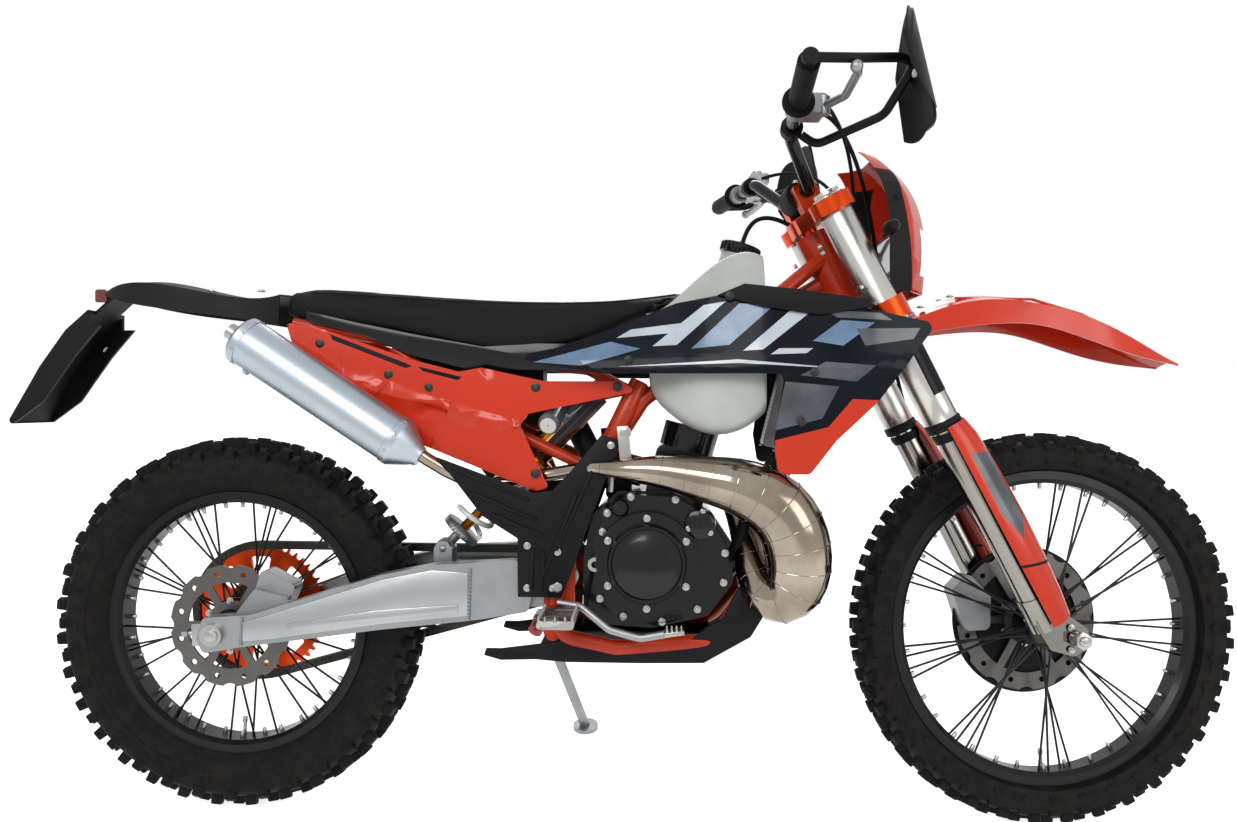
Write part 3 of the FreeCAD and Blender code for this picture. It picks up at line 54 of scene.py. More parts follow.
def findPlaces():
    rake = math.radians(stance["rakeDeg"])
    steerAxis = Vector(joints["steering"]["axis"]).normalized()
    across = Vector(joints["rear_wheel_spin"]["axis"]).normalized()
    level = across.cross(steerAxis)
    forward = level * math.cos(rake) - steerAxis * math.sin(rake)
    up = level * math.sin(rake) + steerAxis * math.cos(rake)
    axle = Vector(joints["rear_wheel_spin"]["pos_m"])
    bike = basis(axle - up * stance["rearRadius"] / 1000, forward, across, up)
    headOrigin = Vector(joints["steering"]["pos_m"]) - steerAxis * stance["headDrop"] / 1000
    turnedAcross = Vector(joints["front_wheel_spin"]["axis"]).normalized()
    head = basis(headOrigin, turnedAcross.cross(steerAxis), turnedAcross, steerAxis)
    straight = basis(headOrigin, level, across, steerAxis)
    return bike, head, head @ straight.inverted() @ bike


bikePlace, headPlace, steerPlace = findPlaces()
bodyPlace = {"chassis": bikePlace, "rear_wheel": bikePlace, "steering": steerPlace, "front_wheel": steerPlace}
rearAxle = (0.0, 0.0, stance["rearRadius"])
frontAxle = (stance["wheelbase"], 0.0, stance["frontRadius"])


def addObject(name, data):
    made = bpy.data.objects.new(name, data)
    bpy.context.scene.collection.objects.link(made)
    return made


# Camera
view = {
    "fromRearAxle": (0.7715, -1.5812, 0.7367), "yawDeg": 2.53, "pitchDeg": -12.09, "rollDeg": -0.38,
    "lens": 27.03, "sensor": 36, "clipStart": 0.05,
}


def addCamera():
    data = bpy.data.cameras.new("camera")
    data.sensor_width, data.lens, data.clip_start = view["sensor"], view["lens"], view["clipStart"]
    camera = addObject("camera", data)
    turn = Matrix.Rotation(math.radians(view["yawDeg"]), 4, "Z")
    turn = turn @ Matrix.Rotation(math.radians(view["pitchDeg"] + 90), 4, "X")
    turn = turn @ Matrix.Rotation(math.radians(view["rollDeg"]), 4, "Z")
    place = Vector(joints["rear_wheel_spin"]["pos_m"]) + Vector(view["fromRearAxle"])
    camera.matrix_world = Matrix.Translation(place) @ turn
    bpy.context.scene.camera = camera


addCamera()
print("camera placed")


# Shader helpers
def tint(code):
    parts = [int(code[i:i + 2], 16) / 255 for i in (0, 2, 4)]
    return [p / 12.92 if p <= 0.04045 else ((p + 0.055) / 1.055) ** 2.4 for p in parts] + [1.0]


def addNode(tree, kind, inputs=None, **settings):
    node = tree.nodes.new(kind)
    for key, value in settings.items():
        setattr(node, key, value)
    for key, value in (inputs or {}).items():
        if isinstance(value, bpy.types.NodeSocket):
            tree.links.new(value, node.inputs[key])
        else:
            node.inputs[key].default_value = value
    return node


def newGroup(name, inputs, outputs):
    group = bpy.data.node_groups.new(name, "ShaderNodeTree")
    for label, start in inputs.items():
        kind = "NodeSocketColor" if isinstance(start, list) else "NodeSocketFloat"
        group.interface.new_socket(label, in_out="INPUT", socket_type=kind).default_value = start
    for label in outputs:
        kind = "NodeSocketColor" if label == "Colour" else "NodeSocketFloat"
        group.interface.new_socket(label, in_out="OUTPUT", socket_type=kind)
    return group, addNode(group, "NodeGroupInput").outputs, addNode(group, "NodeGroupOutput").inputs


def noise(tree, vector, scale, detail=3.0):
    inputs = {"Vector": vector, "Scale": scale, "Detail": detail}
    return addNode(tree, "ShaderNodeTexNoise", inputs).outputs["Fac"]


def remap(tree, value, low, high, outLow=0.0, outHigh=1.0):
    inputs = {"Value": value, "From Min": low, "From Max": high, "To Min": outLow, "To Max": outHigh}
    return addNode(tree, "ShaderNodeMapRange", inputs).outputs["Result"]


def calc(tree, operation, a, b):
    return addNode(tree, "ShaderNodeMath", {0: a, 1: b}, operation=operation).outputs[0]


def blendColour(tree, share, a, b):
    return addNode(tree, "ShaderNodeMix", {0: share, 6: a, 7: b}, data_type="RGBA").outputs[2]


def seenDirectly(tree):
    rays = addNode(tree, "ShaderNodeLightPath").outputs
    mirrored = calc(tree, "MAXIMUM", rays["Is Glossy Ray"], rays["Is Transmission Ray"])
    return calc(tree, "MAXIMUM", rays["Is Camera Ray"], mirrored)


# Cloudy colour, fine grain, scratches and settled dust, used by every finish
def makeFinishGroup():
    group, given, result = newGroup("surfaceFinish", {
        "Colour": tint("808080"), "Second": tint("606060"), "Mottle": 0.3, "Rough": 0.4, "Rough spread": 0.1,
        "Grain scale": 600.0, "Grain": 0.3, "Scratches": 0.1, "Dust": 0.0, "Dust colour": tint("8f8474"),
    }, ["Colour", "Roughness", "Height"])
    where = addNode(group, "ShaderNodeTexCoord").outputs["Object"]
    cloud = remap(group, noise(group, where, 14.0), 0.35, 0.65)
    grain = noise(group, where, given["Grain scale"], 2.0)
    stretch = {"Vector": where, "Rotation": (0.5, 0.3, 0.7), "Scale": (30, 400, 400)}
    stretched = addNode(group, "ShaderNodeMapping", stretch).outputs[0]
    lines = remap(group, noise(group, stretched, 1.0, 2.0), 0.62, 0.74)
    marks = calc(group, "MULTIPLY", lines, given["Scratches"])
    mottled = calc(group, "MULTIPLY", cloud, given["Mottle"])
    colour = blendColour(group, mottled, given["Colour"], given["Second"])
    settled = remap(group, noise(group, where, 45.0, 6.0), 0.42, 0.7)
    dusty = calc(group, "MULTIPLY", settled, given["Dust"])
    spread = calc(group, "MULTIPLY", calc(group, "SUBTRACT", cloud, 0.5), given["Rough spread"])
    worn = calc(group, "MULTIPLY", calc(group, "ADD", marks, dusty), 0.3)
    raised = calc(group, "MULTIPLY", grain, given["Grain"])
    group.links.new(blendColour(group, dusty, colour, given["Dust colour"]), result["Colour"])
    group.links.new(calc(group, "ADD", calc(group, "ADD", given["Rough"], spread), worn), result["Roughness"])
    group.links.new(calc(group, "SUBTRACT", raised, calc(group, "MULTIPLY", marks, 0.4)), result["Height"])
    return group


# Long fine lines along x, for brushed metal
def makeBrushGroup():
    group, given, result = newGroup("brushedLines", {"Length": 12.0, "Width": 900.0}, ["Height"])
    where = addNode(group, "ShaderNodeTexCoord").outputs["Object"]
    size = {"X": given["Length"], "Y": given["Width"], "Z": given["Width"]}
    size = addNode(group, "ShaderNodeCombineXYZ", size).outputs[0]
    lined = addNode(group, "ShaderNodeMapping", {"Vector": where, "Scale": size}).outputs[0]
    group.links.new(noise(group, lined, 1.0, 2.0), result["Height"])
    return group


finishGroup = makeFinishGroup()
brushGroup = makeBrushGroup()

plainFinish = {
    "Colour": "808080", "Second": "606060", "Mottle": 0.35, "Rough": 0.4, "Rough spread": 0.1,
    "Grain scale": 600, "Grain": 0.2, "Scratches": 0.05, "Dust": 0.0, "Dust colour": "8f8474", "Bump": 0.15,
    "Brush": 0.0, "Metal": 0.0, "Coat": 0.0, "Coat rough": 0.08, "Shine": 0.5, "Through": 0.0,
}
shaderInputs = {
    "Metallic": "Metal", "Coat Weight": "Coat", "Coat Roughness": "Coat rough", "Specular IOR Level": "Shine",
    "Subsurface Weight": "Through",
}
finishes = {
    "orangePlastic": {"Colour": "c92e09", "Second": "b52607", "Rough": 0.26, "Shine": 0.25, "Coat": 0.25,
                      "Grain scale": 500, "Grain": 0.05},
    "orangeFrame": {"Colour": "b5300e", "Second": "a0290b", "Rough": 0.34, "Shine": 0.25, "Coat": 0.15,
                    "Grain scale": 900, "Grain": 0.25},
    "orangeAnodised": {"Colour": "c8421a", "Second": "ab3613", "Rough": 0.3, "Metal": 1.0,
                       "Grain scale": 1500, "Grain": 0.2},
    "blackMoulded": {"Colour": "0c0c0e", "Second": "131416", "Rough": 0.52, "Shine": 0.15,
                     "Grain scale": 1400, "Grain": 0.7, "Bump": 0.3},
    "blackGloss": {"Colour": "08090b", "Second": "0e0f12", "Rough": 0.2, "Shine": 0.2, "Coat": 0.2,
                   "Grain scale": 400, "Grain": 0.06},
    "shroudNavy": {"Colour": "04060c", "Second": "0a101b", "Rough": 0.28, "Shine": 0.1, "Coat": 0.06,
                   "Mottle": 0.8, "Grain": 0.05},
    "graphicWhite": {"Colour": "b9c3cc", "Second": "8b99a8", "Rough": 0.3, "Coat": 0.5, "Mottle": 0.5,
                     "Grain": 0.05},
    "graphicBlue": {"Colour": "5d7c9c", "Second": "35506f", "Rough": 0.3, "Coat": 0.5, "Mottle": 0.7,
                    "Grain": 0.05},
    "graphicGrey": {"Colour": "4b5158", "Second": "1a1d22", "Rough": 0.32, "Coat": 0.4, "Mottle": 0.9,
                    "Grain": 0.05},
    "enginePaint": {"Colour": "060607", "Second": "0c0c0e", "Rough": 0.22, "Shine": 0.2, "Coat": 0.25,
                    "Grain scale": 700, "Grain": 0.35, "Bump": 0.25},
    "seatVinyl": {"Colour": "0e0e10", "Second": "141517", "Rough": 0.62, "Shine": 0.15, "Grain scale": 2200,
                  "Grain": 1.0, "Bump": 0.5},
    "rubber": {"Colour": "0b0b0b", "Second": "131211", "Rough": 0.7, "Shine": 0.15, "Grain scale": 500,
               "Grain": 0.6, "Bump": 0.3, "Dust": 0.07, "Dust colour": "5d564c"},
    "gripRubber": {"Colour": "0a0a0b", "Second": "101010", "Rough": 0.66, "Shine": 0.15, "Grain scale": 900,
                   "Grain": 0.8, "Bump": 0.4},
    "rimBlack": {"Colour": "060607", "Second": "0d0d0e", "Rough": 0.32, "Shine": 0.25, "Metal": 0.1,
                 "Coat": 0.05, "Scratches": 0.3},
    "castAluminium": {"Colour": "939597", "Second": "767a7d", "Rough": 0.42, "Metal": 0.9,
                      "Grain scale": 1100, "Grain": 0.8, "Bump": 0.25},
    "brushedAluminium": {"Colour": "a3a5a7", "Second": "8d9093", "Rough": 0.34, "Metal": 1.0, "Brush": 0.5,
                         "Grain": 0.2},
    "forkSilver": {"Colour": "b9b7b2", "Second": "a3a19c", "Rough": 0.27, "Metal": 1.0, "Brush": 0.25,
                   "Grain": 0.1},
    "stanchion": {"Colour": "8d8a84", "Second": "7b7872", "Rough": 0.14, "Metal": 1.0, "Grain": 0.05},
    "nickel": {"Colour": "9a9083", "Second": "766b5e", "Rough": 0.13, "Rough spread": 0.12, "Metal": 1.0,
               "Mottle": 0.7, "Grain scale": 60, "Grain": 0.5, "Bump": 0.12, "Scratches": 0.25},
    "silencerSatin": {"Colour": "a9b2ba", "Second": "97a1aa", "Rough": 0.36, "Metal": 0.95,
                      "Grain scale": 1600, "Grain": 0.6},
    "discSteel": {"Colour": "62605e", "Second": "4c4a48", "Rough": 0.32, "Metal": 1.0, "Scratches": 0.6,
                  "Grain": 0.2},
    "darkSteel": {"Colour": "3a3936", "Second": "2a2927", "Rough": 0.38, "Metal": 0.9, "Grain scale": 900,
                  "Grain": 0.5},
    "boltSteel": {"Colour": "a7a6a2", "Second": "8b8984", "Rough": 0.3, "Metal": 1.0, "Grain": 0.1},
    "springWhite": {"Colour": "dedfdc", "Second": "cfd0cc", "Rough": 0.28, "Coat": 0.4, "Grain": 0.1},
    "goldAnodised": {"Colour": "c07a1d", "Second": "a86412", "Rough": 0.25, "Metal": 1.0, "Grain": 0.1},
    "tankPlastic": {"Colour": "b9bdb8", "Second": "a3a8a4", "Rough": 0.34, "Mottle": 0.5,
                    "Grain scale": 500, "Grain": 0.3, "Through": 0.12},
    "redLens": {"Colour": "5e0d0a", "Second": "470806", "Rough": 0.12, "Coat": 0.6, "Grain": 0.02},
    "lampGlass": {"Colour": "c9ced3", "Second": "aab2ba", "Rough": 0.08, "Coat": 0.8, "Grain": 0.02,
                  "Metal": 0.4},
}


def makeFinish(name, settings):
    values = {**plainFinish, **settings}
    material = bpy.data.materials.new(name)
    material.use_nodes = True
    tree = material.node_tree
    shader = tree.nodes["Principled BSDF"]
    surface = addNode(tree, "ShaderNodeGroup", node_tree=finishGroup)
    for socket in surface.inputs:
        value = values[socket.name]
        socket.default_value = tint(value) if isinstance(value, str) else value
    height = surface.outputs["Height"]
    if values["Brush"]:
        brush = addNode(tree, "ShaderNodeGroup", node_tree=brushGroup)
        height = calc(tree, "ADD", height, calc(tree, "MULTIPLY", brush.outputs["Height"], values["Brush"]))
    bump = addNode(tree, "ShaderNodeBump", {"Height": height, "Strength": values["Bump"], "Distance": 0.001})
    tree.links.new(surface.outputs["Colour"], shader.inputs["Base Color"])
    tree.links.new(surface.outputs["Roughness"], shader.inputs["Roughness"])
    tree.links.new(bump.outputs["Normal"], shader.inputs["Normal"])
    for label, key in shaderInputs.items():
        shader.inputs[label].default_value = values[key]
    shader.inputs["Subsurface Radius"].default_value = (0.02, 0.018, 0.014)
    return material


finish = {name: makeFinish(name, settings) for name, settings in finishes.items()}
print("finishes made:", len(finish))


# Finishes of the CAD nodes that have one finish all over
nodeFinish = {
    "frame_main": "orangeFrame", "frame_guards": "blackMoulded", "swingarm": "castAluminium",
    "rear_axle": "boltSteel", "crankcase": "enginePaint", "engine_covers": "enginePaint",
    "drive_chain": "darkSteel", "cylinder": "enginePaint", "intake": "blackMoulded",
    "exhaust_chamber": "nickel", "muffler": "silencerSatin", "radiators": "castAluminium",
    "fuel_tank": "tankPlastic", "shrouds": "shroudNavy", "side_panels": "orangePlastic", "seat": "seatVinyl",
    "rear_fender": "blackMoulded", "plate_holder": "blackMoulded", "tail_light": "redLens",
    "shock_body": "castAluminium", "shock_spring": "springWhite", "skid_plate": "blackMoulded",
    "foot_controls": "castAluminium", "footpegs": "boltSteel", "rear_caliper": "castAluminium",
    "triple_clamps": "orangeAnodised", "fork_upper_tubes": "forkSilver", "fork_lower_legs": "stanchion",
    "fork_guards": "orangePlastic", "front_caliper": "castAluminium", "handlebar": "blackGloss",
    "grips": "gripRubber", "levers": "castAluminium", "handguards": "blackMoulded",
    "headlight_mask": "orangePlastic", "headlight": "lampGlass", "front_fender": "orangePlastic",
    "front_tyre": "rubber", "front_rim": "rimBlack", "front_disc": "discSteel", "rear_tyre": "rubber",
    "rear_rim": "rimBlack", "rear_disc": "discSteel", "sprocket": "orangeAnodised",
    "side_stand": "castAluminium",
}
for name, label in nodeFinish.items():
    nodes[name].data.materials.clear()
    nodes[name].data.materials.append(finish[label])
print("nodes painted:", len(nodeFinish))


# Small helpers for angles, mirrored spots and the parts of a bmesh
def turns(count, phase=0.0):
    return [2 * math.pi * (i + phase) / count for i in range(count)]


def tilt(degrees):
    return Matrix.Rotation(math.radians(degrees), 3, "Y")


def mirrored(spot, sign):
    return spot[0], sign * spot[1], spot[2]


def clampShare(value, start, span):
    return min(max((value - start) / span, 0), 1)


def edgesOf(verts):
    return list({edge for vert in verts for edge in vert.link_edges})


def facesOf(verts):
    return list({face for vert in verts for face in vert.link_faces})


def vertsIn(geometry):
    return [part for part in geometry if isinstance(part, bmesh.types.BMVert)]


def roundEdges(mesh, edges, offset, segments=2):
    bmesh.ops.bevel(mesh, geom=edges, offset=offset, segments=segments, affect="EDGES", profile=0.5,
                    material=-1)


# A finished piece: its mesh in the drawing's millimetres, its finishes and the body that it rides on
def newPiece(name, mesh, labels, body, place=None, sharpDeg=34.0, instead=None):
    bmesh.ops.transform(mesh, matrix=bodyPlace[body] if place is None else place, verts=mesh.verts)
    for face in mesh.faces:
        face.smooth = True
    data = bpy.data.meshes.new(name)
    mesh.to_mesh(data)
    mesh.free()
    data.set_sharp_from_angle(angle=math.radians(sharpDeg))
    for label in labels:
        data.materials.append(finish[label])
    piece = addObject(name, data)
    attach(piece, body)
    if instead:
        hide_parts(instead)


# Colour outlines are cut in with planes, so that each edge of the artwork is a clean line
def outlineCuts(outline):
    pairs = zip(outline, outline[1:] + outline[:1])
    return [((x0, 0, z0), (z1 - z0, 0, x0 - x1)) for (x0, z0), (x1, z1) in pairs]


def artCuts(layers):
    return [cut for label, outline in layers for cut in outlineCuts(outline)]


def gridCuts(x0, x1, z0, z1, step):
    cuts = [((x0 + i * step, 0, 0), (1, 0, 0)) for i in range(int((x1 - x0) / step))]
    return cuts + [((0, 0, z0 + i * step), (0, 0, 1)) for i in range(int((z1 - z0) / step))]


def cutAlong(mesh, cuts):
    for point, normal in cuts:
        geometry = mesh.verts[:] + mesh.edges[:] + mesh.faces[:]
        bmesh.ops.bisect_plane(mesh, geom=geometry, plane_co=point, plane_no=normal, dist=0.005)


def inside(outline, x, z):
    hit = False
    for (x0, z0), (x1, z1) in zip(outline, outline[1:] + outline[:1]):
        if (z0 > z) != (z1 > z) and x < (x1 - x0) * (z - z0) / (z1 - z0) + x0:
            hit = not hit
    return hit


def islandsOf(mesh):
    seen, groups = set(), []
    for first in mesh.faces:
        if first in seen:
            continue
        group, queue = [], [first]
        seen.add(first)
        while queue:
            face = queue.pop()
            group.append(face)
            for edge in face.edges:
                for other in edge.link_faces:
                    if other not in seen:
                        seen.add(other)
                        queue.append(other)
        groups.append(group)
    return groups


# A CAD node's own shape with smooth shading and its finishes cut in. A zone gives the
# finish at a spot, from the spot, the face's normal and the middle of its solid.
def dressNode(name, body, zone, cuts=(), sharpDeg=34.0, bend=None):
    mesh = bmesh.new()
    mesh.from_mesh(nodes[name].data)
    bmesh.ops.transform(mesh, matrix=bodyPlace[body].inverted() @ nodes[name].matrix_world, verts=mesh.verts)
    bmesh.ops.remove_doubles(mesh, verts=mesh.verts, dist=0.01)
    cutAlong(mesh, cuts)
    labels = []
    for group in islandsOf(mesh):
        middle = sum((face.calc_center_median() for face in group), Vector()) / len(group)
        for face in group:
            label = zone(face.calc_center_median(), face.normal, middle)
            if label not in labels:
                labels.append(label)
            face.material_index = labels.index(label)
    if bend:
        for vertex in mesh.verts:
            bend(vertex.co)
    newPiece(name + "_dressed", mesh, labels, body, None, sharpDeg, name)


def putRod(mesh, start, end, radius, tipRadius=None, sides=24, edge=0.0):
    start, end = Vector(start), Vector(end)
    turn = (end - start).to_track_quat("Z", "Y").to_matrix().to_4x4()
    tip = radius if tipRadius is None else tipRadius
    made = bmesh.ops.create_cone(mesh, cap_ends=True, segments=sides, radius1=radius, radius2=tip,
                                 depth=(end - start).length,
                                 matrix=Matrix.Translation((start + end) / 2) @ turn)
    if edge:
        rims = [e for e in edgesOf(made["verts"]) if any(len(f.verts) > 4 for f in e.link_faces)]
        roundEdges(mesh, rims, edge)


def putBlock(mesh, centre, size, turn=None, edge=1.0):
    place = Matrix.Translation(centre) @ (turn.to_4x4() if turn else Matrix()) @ Matrix.Diagonal((*size, 1))
    made = bmesh.ops.create_cube(mesh, size=1.0, matrix=place)
    if edge:
        roundEdges(mesh, edgesOf(made["verts"]), edge)


def putSheet(mesh, outline, y0, y1, edge=1.6):
    face = mesh.faces.new([mesh.verts.new((x, y0, z)) for x, z in outline])
    fresh = vertsIn(bmesh.ops.extrude_face_region(mesh, geom=[face])["geom"])
    bmesh.ops.translate(mesh, vec=(0, y1 - y0, 0), verts=fresh)
    whole = set(fresh) | set(face.verts)
    bmesh.ops.recalc_face_normals(mesh, faces=facesOf(whole))
    roundEdges(mesh, edgesOf(whole), edge)


# A closed profile of (along, radius) pairs, turned about an axis through its centre
def putTurned(mesh, profile, steps, centre=(0, 0, 0), axis=(0, 1, 0)):
    start = [mesh.verts.new((radius, along, 0)) for along, radius in profile]
    edges = [mesh.edges.new(pair) for pair in zip(start, start[1:] + start[:1])]
    before = set(mesh.verts)
    bmesh.ops.spin(mesh, geom=start + edges, axis=(0, 1, 0), cent=(0, 0, 0), steps=steps, angle=2 * math.pi,
                   use_merge=True)
    fresh = start + [v for v in mesh.verts if v not in before]
    bmesh.ops.recalc_face_normals(mesh, faces=facesOf(fresh))
    turn = Vector((0, 1, 0)).rotation_difference(Vector(axis)).to_matrix().to_4x4()
    bmesh.ops.transform(mesh, matrix=Matrix.Translation(centre) @ turn, verts=fresh)


# A screw head: a dome or a hexagon on a washer, pointing along its axis
def putScrew(mesh, spot, axis, radius=6.0, height=5.0, hexagon=False):
    spot, axis = Vector(spot), Vector(axis).normalized()
    putRod(mesh, spot - axis * 0.6, spot + axis * 0.9, radius * 1.35, sides=20, edge=0.3)
    if hexagon:
        putRod(mesh, spot, spot + axis * height, radius, sides=6, edge=0.6)
        top = spot + axis * (height + 0.7)
        putRod(mesh, spot + axis * height * 0.8, top, radius * 0.72, radius * 0.6, sides=18)
    else:
        putRod(mesh, spot, spot + axis * height, radius, radius * 0.86, sides=20, edge=0.8)
        top = spot + axis * (height + 0.15)
        putRod(mesh, spot + axis * (height - 0.2), top, radius * 0.48, sides=6)


def addHose(name, points, radius, label, body):
    data = bpy.data.curves.new(name, "CURVE")
    data.dimensions = "3D"
    data.bevel_depth = radius / 1000
    data.bevel_resolution = 4
    data.resolution_u = 10
    data.use_fill_caps = True
    spline = data.splines.new("NURBS")
    spline.points.add(len(points) - 1)
    for point, spot in zip(spline.points, points):
        point.co = (*(bodyPlace[body] @ Vector(spot)), 1)
    spline.use_endpoint_u = True
    spline.order_u = 4
    data.materials.append(finish[label])
    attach(addObject(name, data), body)


print("piece helpers ready")

# Tyres: a carcass turned from the CAD section, with rows of bevelled knobs. A row's place and
# width are shares of the tyre's half width, and "below" is the depth of its foot under the crown.
tread = {
    "rear": {"axle": rearAxle, "half": 64.0, "seat": 228.6, "rim": 27.3, "deep": 17.0, "pitches": 32},
    "front": {"axle": frontAxle, "half": 47.0, "seat": 266.7, "rim": 20.3, "deep": 14.5, "pitches": 36},
    "rows": [
        {"at": 0.2, "lean": 4, "length": 24, "wide": 0.34, "skew": 0, "below": 1, "side": 1},
        {"at": 0.55, "lean": 17, "length": 22, "wide": 0.3, "skew": 6, "below": 6, "side": -1},
        {"at": 0.8, "lean": 38, "length": 20, "wide": 0.28, "skew": 4, "below": 21, "side": 1},
        {"at": 0.86, "lean": 68, "length": 13, "width": 14, "height": 5.5, "skew": 0, "below": 33, "side": 1},
    ],
}


def tyreProfile(size):
    radius, seat, rim, half = size["axle"][2], size["seat"], size["rim"], size["half"]
    rise = radius - seat
    crown = radius - size["deep"]
    outer = [
        (rim, seat), (rim, seat + 10), (rim + 1.4, seat + 12.5), (half * 0.74, seat + rise * 0.2),
        (half * 0.86, seat + rise * 0.36), (half * 0.865, seat + rise * 0.375),
        (half * 0.88, seat + rise * 0.37),
        (half * 0.885, seat + rise * 0.52), (half * 0.87, seat + rise * 0.66), (half * 0.8, crown - 14),
        (half * 0.6, crown - 6), (half * 0.3, crown - 1.5), (0.0, crown),
    ]
    inner = [(half * 0.62, crown - 14), (half * 0.78, seat + rise * 0.5), (rim - 5, seat + 10),
             (rim - 5, seat)]
    right = [(-y, r) for y, r in reversed(outer[:-1])]
    return outer + right + [(-y, r) for y, r in reversed(inner)] + inner


# One knob row: each block is tapered to its top and set round the tyre
def putKnobs(mesh, block, lay, count, phase):
    cell = bmesh.new()
    made = bmesh.ops.create_cube(cell, size=1.0, matrix=Matrix.Diagonal((*block, 1)))
    bmesh.ops.scale(cell, vec=(0.84, 0.84, 1), verts=[v for v in made["verts"] if v.co.z > 0])
    roundEdges(cell, [e for e in cell.edges if any(v.co.z > 0 for v in e.verts)], 1.5, 1)
    bmesh.ops.delete(cell, geom=[f for f in cell.faces if f.normal.z < -0.9], context="FACES_ONLY")
    bmesh.ops.recalc_face_normals(cell, faces=cell.faces[:])
    shape = bpy.data.meshes.new("knob")
    cell.to_mesh(shape)
    cell.free()
    row = bmesh.new()
    for angle in turns(count, phase):
        before = len(row.verts)
        row.from_mesh(shape)
        row.verts.ensure_lookup_table()
        bmesh.ops.transform(row, matrix=Matrix.Rotation(angle, 4, "Y") @ lay, verts=row.verts[before:])
    row.to_mesh(shape)
    row.free()
    mesh.from_mesh(shape)
    bpy.data.meshes.remove(shape)


def addTyre(side, body):
    size = tread[side]
    mesh = bmesh.new()
    putTurned(mesh, tyreProfile(size), 120)
    crown = size["axle"][2] - size["deep"] - 4
    for sign in (-1, 1):
        for row in tread["rows"]:
            height = row.get("height", size["deep"] + 4)
            block = (row["length"], row.get("width", size["half"] * row.get("wide", 0)), height)
            lay = Matrix.Translation((0, sign * size["half"] * row["at"], crown - row["below"] + height / 2))
            lay = lay @ Matrix.Rotation(math.radians(-sign * row["lean"]), 4, "X")
            lay = lay @ Matrix.Rotation(math.radians(sign * row["skew"]), 4, "Z")
            putKnobs(mesh, block, lay, size["pitches"], 0.25 * (1 + sign * row["side"]))
    place = bodyPlace[body] @ Matrix.Translation(size["axle"])
    newPiece(side + "_tyre_treaded", mesh, ["rubber"], body, place, 40.0, side + "_tyre")


addTyre("rear", "rear_wheel")
addTyre("front", "front_wheel")
print("tyres made")


# Wheels: nipples at the rim, a valve, and bolts in the discs
wheelBits = {
    "rear": {"rimR": 219.0, "rimY": 16.0, "discY": -56.4, "discOut": -1},
    "front": {"rimR": 256.0, "rimY": 12.0, "discY": 58.0, "discOut": 1},
    "spokes": 36, "bolts": 6, "boltR": 45.0,
}


def addWheelBits(side, body):
    size = wheelBits[side]
    mesh = bmesh.new()
    for i, angle in enumerate(turns(wheelBits["spokes"])):
        across = Vector((0, size["rimY"] * 0.35 * (1 if i % 2 else -1), 0))
        out = Vector((math.sin(angle), 0, math.cos(angle)))
        putRod(mesh, out * (size["rimR"] - 11) + across, out * (size["rimR"] + 1) + across, 3.4, 4.2, 10, 0.5)
    low = -size["rimR"]
    putRod(mesh, (0, 6, low + 26), (0, 4, low - 1), 3.2, sides=14, edge=0.4)  # valve
    putRod(mesh, (0, 6.4, low + 34), (0, 6, low + 24), 4.4, sides=14, edge=0.8)  # its cap
    place = bodyPlace[body] @ Matrix.Translation(tread[side]["axle"])
    newPiece(side + "_spoke_nipples", mesh, ["boltSteel"], body, place)
    bolts = bmesh.new()
    for angle in turns(wheelBits["bolts"], 0.5):
        spot = (wheelBits["boltR"] * math.cos(angle), size["discY"], wheelBits["boltR"] * math.sin(angle))
        putScrew(bolts, spot, (0, size["discOut"], 0), 4.6, 2.6)
    newPiece(side + "_disc_bolts", bolts, ["boltSteel"], body, place)


addWheelBits("rear", "rear_wheel")
addWheelBits("front", "front_wheel")


# Chain: side plates and pins along the CAD chain's run
chain = {
    "pitch": 15.875, "rearTeeth": 50, "frontTeeth": 13, "rear": (0.0, stance["rearRadius"]),
    "front": (668.0, 430.0), "y": 77.0, "innerPlate": 6.2, "outerPlate": 7.6, "plate": (9.5, 1.7, 9.0),
    "eyeR": 6.6, "pinR": 2.6,
}


def chainPoints():
    bigR = chain["pitch"] / (2 * math.sin(math.pi / chain["rearTeeth"]))
    smallR = chain["pitch"] / (2 * math.sin(math.pi / chain["frontTeeth"]))
    (rx, rz), (fx, fz) = chain["rear"], chain["front"]
    line = math.atan2(fz - rz, fx - rx)
    spread = math.acos((bigR - smallR) / math.hypot(fx - rx, fz - rz))
    big = [line + spread + (2 * math.pi - 2 * spread) * i / 59 for i in range(60)]
    small = [line - spread + 2 * spread * i / 29 for i in range(30)]
    points = [Vector((rx + bigR * math.cos(a), 0, rz + bigR * math.sin(a))) for a in big]
    return points + [Vector((fx + smallR * math.cos(a), 0, fz + smallR * math.sin(a))) for a in small]


def evenPoints(points, step):
    points = points + [points[0]]
    total = sum((b - a).length for a, b in zip(points, points[1:]))
    count = round(total / step / 2) * 2
    step = total / count
    even, walked, wanted = [], 0.0, 0.0
    for a, b in zip(points, points[1:]):
        span = (b - a).length
        while wanted <= walked + span and len(even) < count:
            even.append(a.lerp(b, (wanted - walked) / span if span else 0))
            wanted += step
        walked += span
    return even


